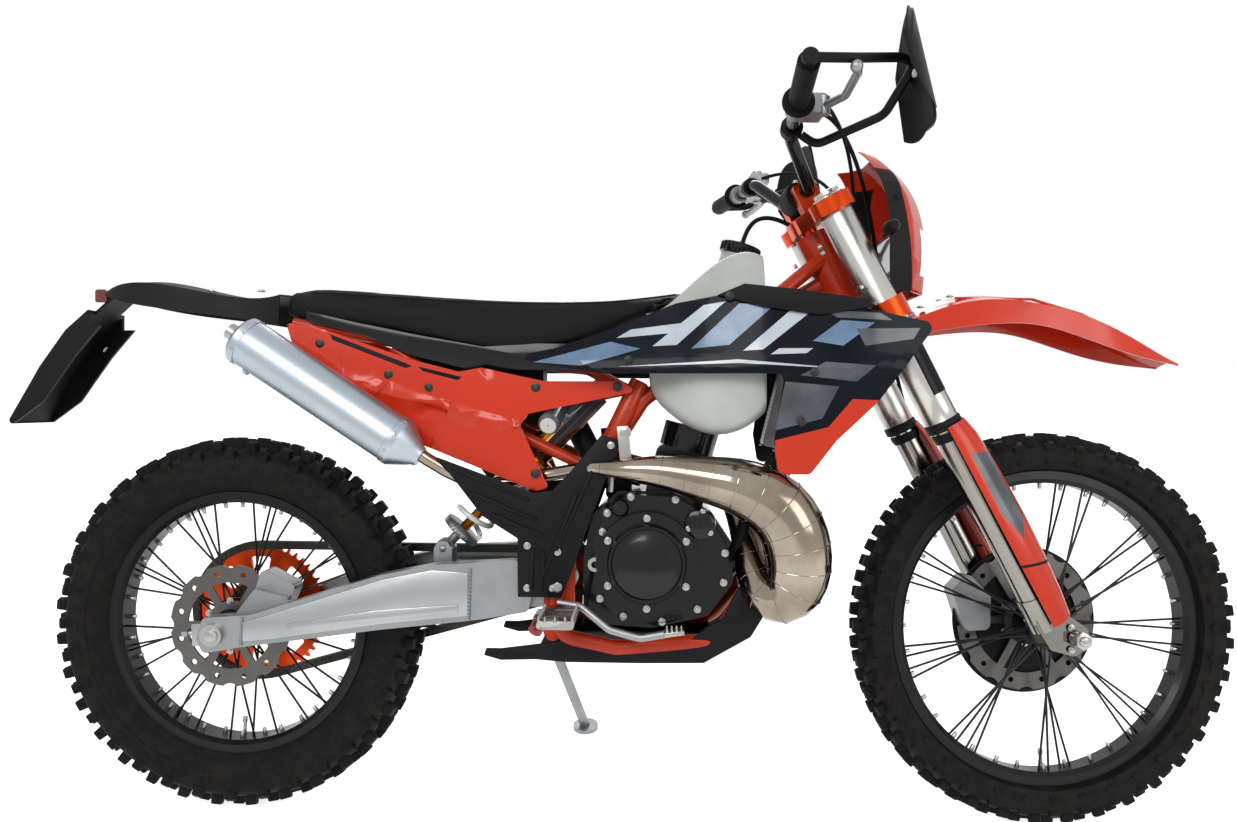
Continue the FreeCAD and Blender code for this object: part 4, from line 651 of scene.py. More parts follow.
def addChain():
    pins = evenPoints(chainPoints(), chain["pitch"])
    mesh = bmesh.new()
    for i, (pin, after) in enumerate(zip(pins, pins[1:] + pins[:1])):
        y = chain["outerPlate"] if i % 2 else chain["innerPlate"]
        turn = Matrix.Rotation(-math.atan2(after.z - pin.z, after.x - pin.x), 3, "Y")
        for sign in (-1, 1):
            inner, outer = sorted((chain["y"] + sign * 5.2, chain["y"] + sign * 9.2))
            putRod(mesh, pin + Vector((0, inner, 0)), pin + Vector((0, outer, 0)), chain["pinR"], sides=10)
            side = Vector((0, chain["y"] + sign * y, 0))
            putBlock(mesh, (pin + after) / 2 + side, chain["plate"], turn, 0)
            for end in (pin + side, after + side):
                putRod(mesh, end - Vector((0, 0.9, 0)), end + Vector((0, 0.9, 0)), chain["eyeR"], sides=14)
    newPiece("chain_links", mesh, ["darkSteel"], "chassis", None, 30.0)


addChain()
print("wheel bits and chain made")

# Body panels: the CAD skins bent into their curved plan, with their colours cut in
plans = {
    "shroud": [(450, -22), (660, -14), (820, 4), (960, 20), (1080, 24), (1240, 6)],
    "panel": [(90, 0), (335, 2), (430, 9), (540, 18), (650, 15), (760, 6)],
}
skins = {
    "waist": 800, "under": 0.1, "over": -0.12, "leanFrom": 700, "leanSpan": 200, "foldFrom": 132,
    "foldSpan": 24, "ribFrom": 640, "ribHigh": 3.0, "ribWide": 12, "ribRise": 0.02, "panelFold": 4.0,
    "panelCrown": 3.0, "crownWide": 40, "crownFall": 0.24, "crownAt": 300, "shroudY": 150, "panelY": 92,
    "fold": [(176, 800), (430, 740), (556, 700), (566, 690), (440, 722), (190, 782)],
}
artwork = {
    "shroud": [
        ("orangePlastic", [(962, 626), (1021, 626), (1062, 684), (1128, 750), (1084, 752), (1046, 706),
                           (961, 684)]),
        ("graphicGrey", [(960, 700), (1036, 720), (1062, 772), (976, 780)]),
        ("graphicBlue", [(560, 812), (690, 846), (740, 834), (640, 806)]),
        ("graphicWhite", [(700, 852), (822, 862), (842, 880), (724, 866)]),
        ("graphicWhite", [(760, 838), (800, 840), (880, 912), (844, 906)]),
        ("graphicBlue", [(824, 834), (886, 840), (962, 908), (902, 908)]),
        ("graphicWhite", [(908, 830), (940, 832), (1030, 904), (996, 906)]),
        ("graphicWhite", [(952, 824), (1010, 826), (1020, 834), (966, 834)]),
        ("graphicBlue", [(1020, 846), (1068, 838), (1120, 876), (1066, 880)]),
        ("graphicGrey", [(1040, 896), (1060, 884), (1150, 880), (1130, 892)]),
        ("graphicGrey", [(1090, 866), (1104, 838), (1184, 850), (1196, 868)]),
        ("graphicWhite", [(700, 804), (900, 810), (1080, 800), (900, 816)]),
        ("graphicGrey", [(1000, 790), (1090, 780), (1120, 806), (1040, 812)]),
    ],
    "panel": [
        ("blackMoulded", [(196, 862), (330, 812), (342, 806), (330, 803), (200, 852)]),
        ("shroudNavy", [(352, 806), (430, 788), (424, 782), (360, 798)]),
    ],
}


def planShift(plan, x):
    for (x0, y0), (x1, y1) in zip(plan, plan[1:]):
        if x <= x1:
            share = max(0.0, (x - x0) / (x1 - x0))
            share = share * share * (3 - 2 * share)
            return y0 + (y1 - y0) * share
    return plan[-1][1]


def artZone(layers, ground, back, depth):
    def zone(spot, normal, middle):
        if abs(spot.y) < depth or abs(normal.y) < 0.4 or normal.y * spot.y < 0:
            return back
        for label, outline in reversed(layers):
            if inside(outline, spot.x, spot.z):
                return label
        return ground
    return zone


def bendShroud(spot):
    up = spot.z - skins["waist"]
    rib = 0.0
    if spot.x > skins["ribFrom"]:
        away = (up - skins["ribRise"] * (spot.x - 800)) / skins["ribWide"]
        rib = skins["ribHigh"] * math.exp(-away ** 2)
    lean = up * (skins["under"] if up < 0 else skins["over"])
    out = planShift(plans["shroud"], spot.x) + rib
    out += lean * clampShare(spot.x, skins["leanFrom"], skins["leanSpan"])
    out *= clampShare(abs(spot.y), skins["foldFrom"], skins["foldSpan"])
    spot.y += out if spot.y > 0 else -out


def bendPanel(spot):
    raised = skins["panelFold"] if inside(skins["fold"], spot.x, spot.z) else 0.0
    away = (spot.z - skins["waist"] + skins["crownFall"] * (spot.x - skins["crownAt"])) / skins["crownWide"]
    crown = skins["panelCrown"] * math.exp(-away ** 2)
    out = planShift(plans["panel"], spot.x) + raised + crown
    spot.y += out if spot.y > 0 else -out


shroudCuts = artCuts(artwork["shroud"]) + gridCuts(520, 1230, 640, 925, 30)
shroudZone = artZone(artwork["shroud"], "shroudNavy", "blackMoulded", skins["shroudY"])
dressNode("shrouds", "chassis", shroudZone, shroudCuts, 30.0, bendShroud)
panelCuts = artCuts(artwork["panel"]) + outlineCuts(skins["fold"]) + gridCuts(130, 740, 600, 880, 30)
panelZone = artZone(artwork["panel"], "orangePlastic", "orangePlastic", 91)
dressNode("side_panels", "chassis", panelZone, panelCuts, 30.0, bendPanel)


# A moulded wing over each shroud, and the screws of shrouds and panels
wing = {
    "outline": [(866, 922), (910, 940), (1004, 929), (1106, 914), (1122, 902), (1030, 888), (940, 902)],
    "thick": 9, "screws": [(886, 920), (1002, 715), (1022, 795), (720, 815)],
    "panelScrews": [(178, 846), (300, 792), (372, 770), (560, 770), (700, 772), (560, 622)],
}


def addWings():
    mesh, bolts = bmesh.new(), bmesh.new()
    for sign in (-1, 1):
        ring = [(x, sign * (planShift(plans["shroud"], x) + skins["shroudY"]), z) for x, z in wing["outline"]]
        face = mesh.faces.new([mesh.verts.new(spot) for spot in ring])
        top = vertsIn(bmesh.ops.extrude_face_region(mesh, geom=[face])["geom"])
        bmesh.ops.translate(mesh, vec=(0, sign * wing["thick"], 0), verts=top)
        for x, z in wing["screws"]:
            y = planShift(plans["shroud"], x) + skins["shroudY"] + (9.5 if z > 900 else 16)
            putScrew(bolts, (x, sign * y, z), (0, sign, 0), 5.5, 3.2)
    bmesh.ops.recalc_face_normals(mesh, faces=mesh.faces[:])
    roundEdges(mesh, mesh.edges[:], 1.6)
    newPiece("shroud_wings", mesh, ["blackMoulded"], "chassis")
    for sign in (-1, 1):
        for x, z in wing["panelScrews"]:
            y = skins["panelY"] + planShift(plans["panel"], x) + 2.5
            putScrew(bolts, (x, sign * y, z), (0, sign, 0), 6.0, 2.6)
    newPiece("panel_screws", bolts, ["darkSteel"], "chassis")


addWings()


# Frame guards: a moulded sheet with raised ribs and silver screws
guard = {
    "y": 121.0, "thick": 4.0,
    "outline": [(392, 650), (470, 550), (531, 512), (532, 412), (607, 412), (640, 500), (676, 600),
                (707, 681), (674, 690), (622, 628), (590, 594), (558, 590)],
    "ribs": [(486, 604, 138, 22), (508, 566, 120, 22), (532, 534, 96, 22), (628, 560, 150, -66),
             (604, 520, 150, -68), (556, 460, 70, -88), (574, 456, 70, -88)],  # x, z, length, degrees
    "screws": [(548, 428), (592, 428), (690, 672), (548, 500), (600, 490)],
}


def addGuards():
    mesh, bolts = bmesh.new(), bmesh.new()
    for sign in (-1, 1):
        putSheet(mesh, guard["outline"], sign * guard["y"], sign * (guard["y"] + guard["thick"]), 1.5)
    for sign in (-1, 1):
        for x, z, length, degrees in guard["ribs"]:
            putBlock(mesh, (x, sign * (guard["y"] + 5), z), (length, 5, 6), tilt(degrees), 1.6)
        for x, z in guard["screws"]:
            putScrew(bolts, (x, sign * (guard["y"] + 4.5), z), (0, sign, 0), 4.6, 2.6)
    newPiece("guard_sheets", mesh, ["blackMoulded"], "chassis", instead="frame_guards")
    newPiece("guard_screws", bolts, ["boltSteel"], "chassis")


addGuards()


# Black covers under the seat's edge, over the rails behind the shrouds
seatCover = {
    "inner": 83, "outer": 87,
    "outline": [(150, 886), (250, 862), (336, 826), (430, 802), (520, 800), (650, 800), (656, 846),
                (560, 848), (464, 842), (350, 862), (240, 884), (150, 904)],
}


def addSeatCovers():
    mesh = bmesh.new()
    for sign in (-1, 1):
        putSheet(mesh, seatCover["outline"], sign * seatCover["inner"], sign * seatCover["outer"], 1.5)
    newPiece("seat_covers", mesh, ["blackGloss"], "chassis")


addSeatCovers()
print("panels made")


# Tank: milky plastic with a black ribbed cap and its breather hose
cap = {
    "foot": (905, 0, 980), "axis": (0.287, 0, 0.958), "rise": 44, "ribs": 24, "ribR": 35,
    "breather": [(948, 10, 1088), (1000, 16, 1080), (1046, 18, 1046), (1062, 16, 1010)],
}


def tankZone(spot, normal, middle):
    return "blackGloss" if middle.z > 1000 and abs(middle.y) < 20 else "tankPlastic"


def addCapDetail():
    mesh = bmesh.new()
    axis = Vector(cap["axis"])
    top = Vector(cap["foot"]) + axis * cap["rise"]
    ahead = Vector((axis.z, 0, -axis.x))
    for angle in turns(cap["ribs"]):
        spot = top + (Vector((0, 1, 0)) * math.sin(angle) + ahead * math.cos(angle)) * cap["ribR"]
        putRod(mesh, spot - axis * 8, spot + axis * 7, 2.0, sides=8, edge=0.5)
    putRod(mesh, top + axis * 7, top + axis * 16, 7, 5, sides=20, edge=1.0)
    newPiece("cap_ribs", mesh, ["blackMoulded"], "chassis")
    points = [top + axis * 14, top + axis * 40] + cap["breather"]
    addHose("cap_breather", points, 4.0, "gripRubber", "chassis")


dressNode("fuel_tank", "chassis", tankZone)
addCapDetail()


# Seat: a cushion grown inside the CAD form, and a seam along each side
padding = {
    "voxel": 0.006, "smooth": 0.5, "rounds": 6, "pressure": 4, "frames": 20, "growth": 0.004, "fill": 0.6,
    "seam": [(150, 60, 939), (240, 73, 934), (350, 79, 925), (464, 78, 919), (602, 71, 917), (700, 61, 921),
             (800, 49, 936)],
}


def bakedMesh(piece):
    bpy.context.view_layer.update()
    made = bpy.data.meshes.new_from_object(piece.evaluated_get(bpy.context.evaluated_depsgraph_get()))
    piece.modifiers.clear()
    return made


def addSeat():
    mesh = bmesh.new()
    mesh.from_mesh(nodes["seat"].data)
    bmesh.ops.remove_doubles(mesh, verts=mesh.verts, dist=2e-5)
    data = bpy.data.meshes.new("seat_cushion")
    mesh.to_mesh(data)
    mesh.free()
    cushion = addObject("seat_cushion", data)
    shell = cushion.modifiers.new("even", "REMESH")
    shell.mode, shell.voxel_size = "VOXEL", padding["voxel"]
    smooth = cushion.modifiers.new("soften", "SMOOTH")
    smooth.factor, smooth.iterations = padding["smooth"], padding["rounds"]
    cushion.data = bakedMesh(cushion)
    padSeat(cushion)
    for face in cushion.data.polygons:
        face.use_smooth = True
    cushion.data.materials.clear()
    cushion.data.materials.append(finish["seatVinyl"])
    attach(cushion, "chassis")
    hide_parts("seat")


def padSeat(cushion):
    rest = [v.co.copy() for v in cushion.data.vertices]
    cloth = cushion.modifiers.new("foam", "CLOTH")
    cloth.settings.use_pressure = True
    cloth.settings.uniform_pressure_force = padding["pressure"]
    cloth.settings.effector_weights.gravity = 0
    cloth.point_cache.frame_start, cloth.point_cache.frame_end = 1, padding["frames"]
    for i in range(1, padding["frames"] + 1):
        bpy.context.scene.frame_set(i)
        bpy.context.view_layer.update()
    grown = bakedMesh(cushion)
    for vertex, start in zip(grown.vertices, rest):
        move = vertex.co - start
        if move.length > padding["growth"]:
            vertex.co = start + move.normalized() * padding["growth"]
    cushion.data = grown
    bpy.context.scene.frame_set(1)


addSeat()
for side, sign in (("right", -1), ("left", 1)):
    points = [mirrored(spot, sign) for spot in padding["seam"]]
    addHose("seat_seam_" + side, points, 1.6, "seatVinyl", "chassis")
print("tank and seat made")


# Expansion chamber: cone segments joined at weld beads, then the stinger
pipe = {
    "belly": [(896, -2, 586, 22), (910, -20, 560, 23), (922, -48, 520, 25), (930, -76, 476, 28),
              (938, -94, 446, 32), (954, -110, 424, 39), (978, -121, 418, 46), (998, -127, 438, 52),
              (1006, -131, 470, 55), (1003, -134, 506, 56.5), (992, -137, 540, 56.5), (968, -140, 572, 55),
              (934, -142, 594, 51.5), (896, -143.5, 608, 46), (856, -144, 616, 40), (816, -143.5, 623, 34),
              (776, -142, 629, 28), (738, -139, 631, 22), (704, -134, 632, 16), (676, -124, 633, 13)],
    "stinger": [(676, -124, 633, 13), (660, -117, 633, 11.5), (636, -108, 630, 11.5), (575, -88, 618, 11.5),
                (470, -86, 600, 11.5), (404, -108, 626, 11.5), (352, -134, 664, 11.5)],
    "bead": 0.9, "flange": (893, 0, 590), "flangeAxis": (0.75, -0.1, -0.65),
}


def putPipe(mesh, stations, sides):
    spots = [Vector(s[:3]) for s in stations]
    rings = []
    for i, (x, y, z, radius) in enumerate(stations):
        way = (spots[min(i + 1, len(spots) - 1)] - spots[max(i - 1, 0)]).normalized()
        across = (Vector((0, 1, 0)) - way * way.y).normalized()
        turn = Matrix((across, way.cross(across), way)).transposed().to_4x4()
        made = bmesh.ops.create_circle(mesh, cap_ends=i in (0, len(stations) - 1), radius=radius,
                                       segments=sides,
                                       matrix=Matrix.Translation((x, y, z)) @ turn)
        rings.append(edgesOf(made["verts"]))
    for near, far in zip(rings, rings[1:]):
        bmesh.ops.bridge_loops(mesh, edges=near + far)
    bmesh.ops.recalc_face_normals(mesh, faces=mesh.faces[:])


def beadProfile(radius, thick):
    return [(thick * math.cos(angle), radius + thick * math.sin(angle)) for angle in turns(8)]


def roundedPath(stations):
    knots = [Vector(s) for s in stations]
    path = []
    for i in range(len(knots) - 1):
        before, after = knots[max(i - 1, 0)], knots[min(i + 2, len(knots) - 1)]
        path.append(knots[i])
        path.append((knots[i] + knots[i + 1]) * 0.5625 - (before + after) * 0.0625)
    return path + [knots[-1]]


def addChamber():
    mesh = bmesh.new()
    belly = roundedPath(pipe["belly"])
    putPipe(mesh, belly, 44)
    putPipe(mesh, roundedPath(pipe["stinger"]), 28)
    for i in range(4, len(belly) - 6, 2):
        way = Vector(belly[i + 1][:3]) - Vector(belly[i - 1][:3])
        putTurned(mesh, beadProfile(belly[i][3] - 0.1, pipe["bead"]), 44, belly[i][:3], way.normalized())
    putTurned(mesh, [(-4, 18), (-4, 27), (4, 27), (4, 18)], 36, pipe["flange"], pipe["flangeAxis"])
    newPiece("chamber_skin", mesh, ["nickel"], "chassis", None, 40.0, "exhaust_chamber")
    tab = bmesh.new()
    putBlock(tab, (713, -128, 672), (20, 4, 66), tilt(-6), 1.2)
    putBlock(tab, (706, -112, 640), (22, 34, 4), None, 1.0)
    putScrew(tab, (715, -130, 694), (0, -1, 0), 7.5, 6, True)
    newPiece("chamber_tab", tab, ["boltSteel"], "chassis")


addChamber()


# Silencer: satin can with rolled bands, an end cap with rivets and a small outlet
can = {"front": (330.0, -134.0, 674.0), "rear": (62.0, -134.0, 848.0), "rivets": 8, "capScrews": 5}


def addSilencer():
    front, rear = Vector(can["front"]), Vector(can["rear"])
    length = (front - rear).length
    way = (front - rear).normalized()
    mesh = bmesh.new()
    putTurned(mesh, [
        (-12, 1), (-12, 24), (-11, 34), (-4, 42.6), (0, 43.4), (9, 43.4), (10, 42.2), (11, 42),
        (length - 16, 42), (length - 15, 42.2), (length - 14, 43.6), (length, 43.6), (length + 2, 42.4),
        (length + 30, 25), (length + 36, 20), (length + 44, 17), (length + 44, 1)], 56, rear, way)
    newPiece("silencer_can", mesh, ["silencerSatin"], "chassis", instead="muffler")
    bits = bmesh.new()
    putTurned(bits, [(-32, 10.5), (-32, 14), (-12, 14), (-12, 10.5)], 32, rear, way)
    left = Vector((0, 1, 0))
    side = way.cross(left).normalized()
    for angle in turns(can["rivets"], 0.5):
        out = left * math.cos(angle) + side * math.sin(angle)
        for along in (5, length - 7):
            putScrew(bits, rear + way * along + out * 43.2, out, 2.6, 1.6)
    for angle in turns(can["capScrews"]):
        out = left * math.cos(angle) + side * math.sin(angle)
        putScrew(bits, rear - way * 12 + out * 27, -way, 2.8, 2)
    putScrew(bits, rear + way * 34 - side * 40 - left * 8, -side, 6, 5, True)
    newPiece("silencer_bits", bits, ["boltSteel"], "chassis")


addSilencer()
print("exhaust made")


# Engine: lids, bolts, a slotted oil cap, the clutch arm, coolant hose and overflow
engine = {
    "lid": (752.0, 474.0), "oilCap": (842, 540), "slottedCap": (706, 566), "shaft": (664, 470),
    "bolts": [(676, 524), (672, 410), (712, 380), (778, 372), (838, 394), (882, 440), (884, 490), (846, 552),
              (800, 580), (724, 584), (684, 556)],
}
engineHoses = {
    "coolant_low_hose": {
        "radius": 11, "label": "gripRubber", "body": "chassis",
        "points": [(884, -60, 470), (906, -72, 478), (916, -84, 520), (930, -92, 580), (960, -98, 640),
                   (986, -100, 668)]},
    "coolant_low_pipe": {
        "radius": 10, "label": "castAluminium", "body": "chassis",
        "points": [(846, -100, 410), (872, -96, 420), (884, -70, 440), (884, -60, 470)]},
    "carb_overflow": {
        "radius": 3.2, "label": "gripRubber", "body": "chassis",
        "points": [(690, -26, 600), (682, -80, 560), (664, -96, 500), (650, -92, 420), (640, -86, 360)]},
}


# A round boss with a bolt in its end
def putBoss(dark, bright, x, z, foot, tip, radius, edge=1.2):
    putRod(dark, (x, foot, z), (x, tip, z), radius, radius - 1, sides=20, edge=edge)
    putScrew(bright, (x, tip, z), (0, tip - foot, 0), 4.6, 3.4)


def addEngineDetail():
    dark, bright = bmesh.new(), bmesh.new()
    cx, cz = engine["lid"]
    putTurned(dark, [(-150, 1), (-150, 40), (-148, 44), (-146, 58), (-150.5, 60), (-150.5, 64), (-146, 66.5),
                     (-140, 67), (-140, 1)], 56, (cx, 0, cz))
    for angle in turns(6, 0.5):
        putBoss(dark, bright, cx + 76 * math.cos(angle), cz + 76 * math.sin(angle), -118, -139, 9)
    for x, z in engine["bolts"]:
        putBoss(dark, bright, x, z, -110, -119, 9.5)
    cx, cz = engine["oilCap"]
    putTurned(dark, [(-132, 1), (-132, 20), (-129, 25), (-114, 27), (-114, 1)], 40, (cx, 0, cz))
    for degrees in (80, 200, 320):
        x, z = cx + 22 * math.cos(math.radians(degrees)), cz + 22 * math.sin(math.radians(degrees))
        putScrew(bright, (x, -131, z), (0, -1, 0), 3.6, 3)
    cx, cz = engine["slottedCap"]
    putTurned(dark, [(-130, 1), (-130, 12), (-126, 15), (-114, 15), (-114, 1)], 32, (cx, 0, cz))
    putBlock(dark, (cx, -131, cz), (20, 5, 5), tilt(30), 1.0)
    newPiece("engine_lids", dark, ["enginePaint"], "chassis")
    cx, cz = engine["shaft"]
    putTurned(bright, [(-132, 6), (-132, 12), (-126, 13), (-114, 13), (-114, 6)], 32, (cx, 0, cz))
    putRod(bright, (690, -98, 590), (690, -98, 640), 5.5, sides=20, edge=1.0)
    putBlock(bright, (676, -98, 636), (46, 8, 7), tilt(12), 1.4)
    newPiece("engine_bolts", bright, ["boltSteel"], "chassis")


addEngineDetail()
for name, hose in engineHoses.items():
    addHose(name, **hose)


# Radiators: rows of flat fins behind louvred guards
radiator = {"y": 108, "fins": 22, "louvres": 9, "postOffset": 22}


def addRadiatorDetail():
    fins, louvres = bmesh.new(), bmesh.new()
    for sign in (-1, 1):
        y = sign * radiator["y"]
        for i in range(radiator["fins"]):
            share = (i + 0.5) / radiator["fins"]
            putBlock(fins, (991 + 40 * share, y, 664 + 160 * share), (50, 40, 1.6), tilt(-9.167), 0)
        for i in range(radiator["louvres"]):
            share = (i + 0.5) / radiator["louvres"]
            putBlock(louvres, (1018 + 37 * share, y, 664 + 158 * share), (10, 46, 3), tilt(-38), 1.0)
        for offset in (-radiator["postOffset"], radiator["postOffset"]):
            putRod(louvres, (1014, y + offset, 656), (1052, y + offset, 822), 4, sides=14, edge=1.0)
    newPiece("radiator_fins", fins, ["darkSteel"], "chassis")
    newPiece("radiator_louvres", louvres, ["blackMoulded"], "chassis")


addRadiatorDetail()
print("engine details made")


# Fork: silver tubes with a dark strip, broad shells with a grey patch, and the black disc guard.
# Tubes and shells are drawn from the steering head, z along the fork.
fork = {
    "legY": 103.0, "ahead": 22.0, "tubeR": 29.0, "top": 206.0, "bottom": -238.0,
    "shell": [(-232, 38, 40), (-262, 46, 44), (-330, 50, 46), (-420, 52, 46), (-500, 50, 44), (-560, 46, 42),
              (-606, 40, 38)],  # z, depth, half width
    "art": [("graphicGrey", [(24, -286), (60, -300), (60, -420), (40, -452), (24, -400)]),
            ("blackMoulded", [(-40, -470), (110, -520), (110, -525), (-40, -475)])],
}
forkHoses = {
    "front_brake_hose": {
        "radius": 3.6, "label": "gripRubber", "body": "steering",
        "points": [(994, -188, 1206), (1024, -176, 1212), (1070, -124, 1200), (1124, -60, 1130),
                   (1170, 20, 1030), (1210, 84, 900), (1250, 116, 760), (1300, 122, 600),
                   (1356, 112, 460)]},
    "throttle_cable": {
        "radius": 3.2, "label": "gripRubber", "body": "steering",
        "points": [(962, -258, 1192), (996, -240, 1216), (1050, -156, 1212), (1096, -84, 1160),
                   (1112, -40, 1090)]},
    "clutch_hose": {
        "radius": 3.2, "label": "gripRubber", "body": "steering",
        "points": [(994, 188, 1206), (1024, 172, 1214), (1068, 112, 1200), (1104, 54, 1150),
                   (1116, 30, 1086)]},
}


def addTubes():
    mesh = bmesh.new()
    r, z0, z1 = fork["tubeR"], fork["bottom"], fork["top"]
    for sign in (-1, 1):
        putTurned(mesh, [(z0, 24.4), (z0, r + 1), (z0 + 3, r + 2), (z0 + 14, r + 2), (z0 + 17, r),
                         (z0 + 60, r), (z0 + 62, r + 0.5), (z0 + 190, r + 0.5), (z0 + 192, r), (z1 - 6, r),
                         (z1 - 2, r - 2), (z1, r - 6), (z1 + 6, r - 7), (z1 + 7, r - 9), (z1 + 7, 1),
                         (z0 + 50, 1), (z0 + 50, 24.4)],
                  64, (fork["ahead"], sign * fork["legY"], 0), (0, 0, 1))
    for face in mesh.faces:
        spot, normal = face.calc_center_median(), face.normal
        inStrip = z0 + 61 < spot.z < z0 + 191 and normal.y * spot.y > 0 and abs(normal.z) < 0.5
        face.material_index = 1 if inStrip and normal.x > -0.1 and abs(normal.y) > 0.25 else 0
        if abs(spot.z - z0 - 8) < 9:
            face.material_index = 2
    labels = ["forkSilver", "shroudNavy", "blackMoulded"]
    newPiece("fork_tubes_finished", mesh, labels, "steering", headPlace, 34.0, "fork_upper_tubes")


# One broad shell for each leg: half-oval rows bridged down the leg, open at the back
def addForkShells():
    mesh = bmesh.new()
    for sign in (-1, 1):
        rings = []
        for z, deep, wide in fork["shell"]:
            x = fork["ahead"] + 0.02 * (fork["shell"][0][0] - z) - 4
            row = []
            for i in range(17):
                angle = math.radians(-52 + 152 * i / 16)
                y = fork["legY"] + wide * math.sin(angle) * (1.0 if angle > 0 else 0.9)
                row.append(mesh.verts.new((x + deep * math.cos(angle), sign * y, z)))
            rings.append([mesh.edges.new(pair) for pair in zip(row, row[1:])])
        for near, far in zip(rings, rings[1:]):
            bmesh.ops.bridge_loops(mesh, edges=near + far)
    cutAlong(mesh, artCuts(fork["art"]))
    for face in mesh.faces:
        spot = face.calc_center_median()
        for i, (label, outline) in enumerate(fork["art"]):
            if abs(spot.y) > 120 and inside(outline, spot.x, spot.z):
                face.material_index = i + 1
    bmesh.ops.recalc_face_normals(mesh, faces=mesh.faces[:])
    bmesh.ops.solidify(mesh, geom=mesh.faces[:], thickness=3.0)
    labels = ["orangePlastic"] + [label for label, outline in fork["art"]]
    newPiece("fork_shells", mesh, labels, "steering", headPlace, 34.0, "fork_guards")


# The round black guard outside the disc on the left
def addDiscGuard():
    mesh = bmesh.new()
    x, y, z = frontAxle
    putTurned(mesh, [(63.5, 40), (62.5, 60), (61.5, 100), (60.5, 118), (60.5, 134), (62.5, 136), (64.5, 134),
                     (64.5, 118), (65.5, 100), (66.5, 60), (67.5, 40)], 96, frontAxle)
    for angle in turns(7):
        spot = (x + 84 * math.cos(angle), y, z + 84 * math.sin(angle))
        putTurned(mesh, [(65.5, 9), (65.5, 12), (69, 12), (69, 9)], 24, spot)
    newPiece("disc_guard", mesh, ["blackMoulded"], "steering")


# Seals, clamp bolts and cap rings on both legs, then the front axle's nuts and pinch bolts
def addForkDetail():
    dark, bright, nut = bmesh.new(), bmesh.new(), bmesh.new()
    for sign in (-1, 1):
        x, y = fork["ahead"], sign * fork["legY"]
        for low, high, radius in ((-252, -242, 27.5), (-258, -252, 26.0)):
            putRod(dark, (x, y, low), (x, y, high), radius, sides=48, edge=1.2)
        for z in (40, 8, -30, -62):
            putRod(bright, (x - 30, y + sign * 20, z), (x - 30, y + sign * 33, z), 3.4, sides=16, edge=0.6)
        for z in (-14, -2, 122, 134):
            putScrew(bright, (x - 44, y - sign * 16, z), (-1, 0, 0), 4, 5)
        putTurned(dark, [(0, 4), (0, 14), (3, 16), (5, 16), (5, 4)], 32, (x, y, 152), (0, 0, 1))
    newPiece("fork_seals", dark, ["blackMoulded"], "steering", headPlace)
    newPiece("clamp_bolts", bright, ["boltSteel"], "steering", headPlace)
    x, y, z = frontAxle
    putRod(nut, (x, -134, z), (x, -146, z), 15, sides=6, edge=1.2)
    putRod(nut, (x, -146, z), (x, -150, z), 9, 7, sides=28, edge=0.8)
    putRod(nut, (x, 128, z), (x, 138, z), 14, sides=6, edge=1.2)
    for sign in (-1, 1):
        for up in (-17, 19):
            putScrew(nut, (x - 12, sign * 128, z + up), (0, sign, 0), 4.4, 3)
    newPiece("front_axle_nuts", nut, ["boltSteel"], "steering")


addTubes()
addForkShells()
addDiscGuard()
addForkDetail()
for name, hose in forkHoses.items():
    addHose(name, **hose)


# Lamp mask: an orange face on a dark lining, with an indicator at each side
mask = {
    "backX": 1198, "backZ": 940, "slope": 0.1, "top": 1150, "half": 40, "stalk": (1150, 84, 1030),
    "stalkEnd": (1146, 118, 1034), "lampFoot": (1146, 116, 1034),
    "screws": [(1170, 96, 1096), (1178, 96, 960)],
}


def maskZone(spot, normal, middle):
    behind = spot.x < mask["backX"] - mask["slope"] * (spot.z - mask["backZ"])
    lining = behind and spot.z < mask["top"] and abs(spot.y) > mask["half"]
    return "blackMoulded" if lining else "orangePlastic"


def addIndicators():
    mesh = bmesh.new()
    for sign in (-1, 1):
        putRod(mesh, mirrored(mask["stalk"], sign), mirrored(mask["stalkEnd"], sign), 4, sides=16, edge=0.6)
        lamp = [(0, 3), (0, 9), (6, 12), (30, 11), (36, 7), (37, 1)]
        putTurned(mesh, lamp, 28, mirrored(mask["lampFoot"], sign), (0, sign, 0))
        for spot in mask["screws"]:
            putScrew(mesh, mirrored(spot, sign), (0, sign, 0), 4, 2)
    newPiece("indicators", mesh, ["blackMoulded"], "steering")


maskCuts = [((mask["backX"], 0, mask["backZ"]), (1, 0, mask["slope"])), ((0, 0, mask["top"]), (0, 0, 1)),
            ((0, mask["half"], 0), (0, 1, 0)), ((0, -mask["half"], 0), (0, 1, 0))]
dressNode("headlight_mask", "steering", maskZone, maskCuts)
addIndicators()


# Fenders: ridges and screws on the front one, screws on the rear one
fender = {
    "ridge": [(1300, 934), (1440, 934), (1530, 909), (1640, 856)], "ridgeY": (22, 20),
    "screws": [(1236, 916), (1290, 936)], "rearScrews": (-30, 60),
}


def addFenderBits():
    front, ridge, rear = bmesh.new(), bmesh.new(), bmesh.new()
    y0, y1 = fender["ridgeY"]
    for sign in (-1, 1):
        for (x0, z0), (x1, z1) in zip(fender["ridge"], fender["ridge"][1:]):
            putRod(ridge, (x0, sign * y0, z0), (x1, sign * y1, z1), 2.6, sides=16, edge=0.8)
        for x, z in fender["screws"]:
            putScrew(front, (x, sign * 24, z), (0, 0, 1), 5, 3)
        for x in fender["rearScrews"]:
            putScrew(rear, (x, sign * 62, 941), (0, 0, 1), 5, 3)
        putScrew(rear, (-288, sign * 40, 842), (-0.8, 0, 0.6), 5, 4, True)
    newPiece("fender_ridges", ridge, ["orangePlastic"], "steering")
    newPiece("fender_screws", front, ["boltSteel"], "steering")
    newPiece("rear_fender_screws", rear, ["boltSteel"], "chassis")


addFenderBits()


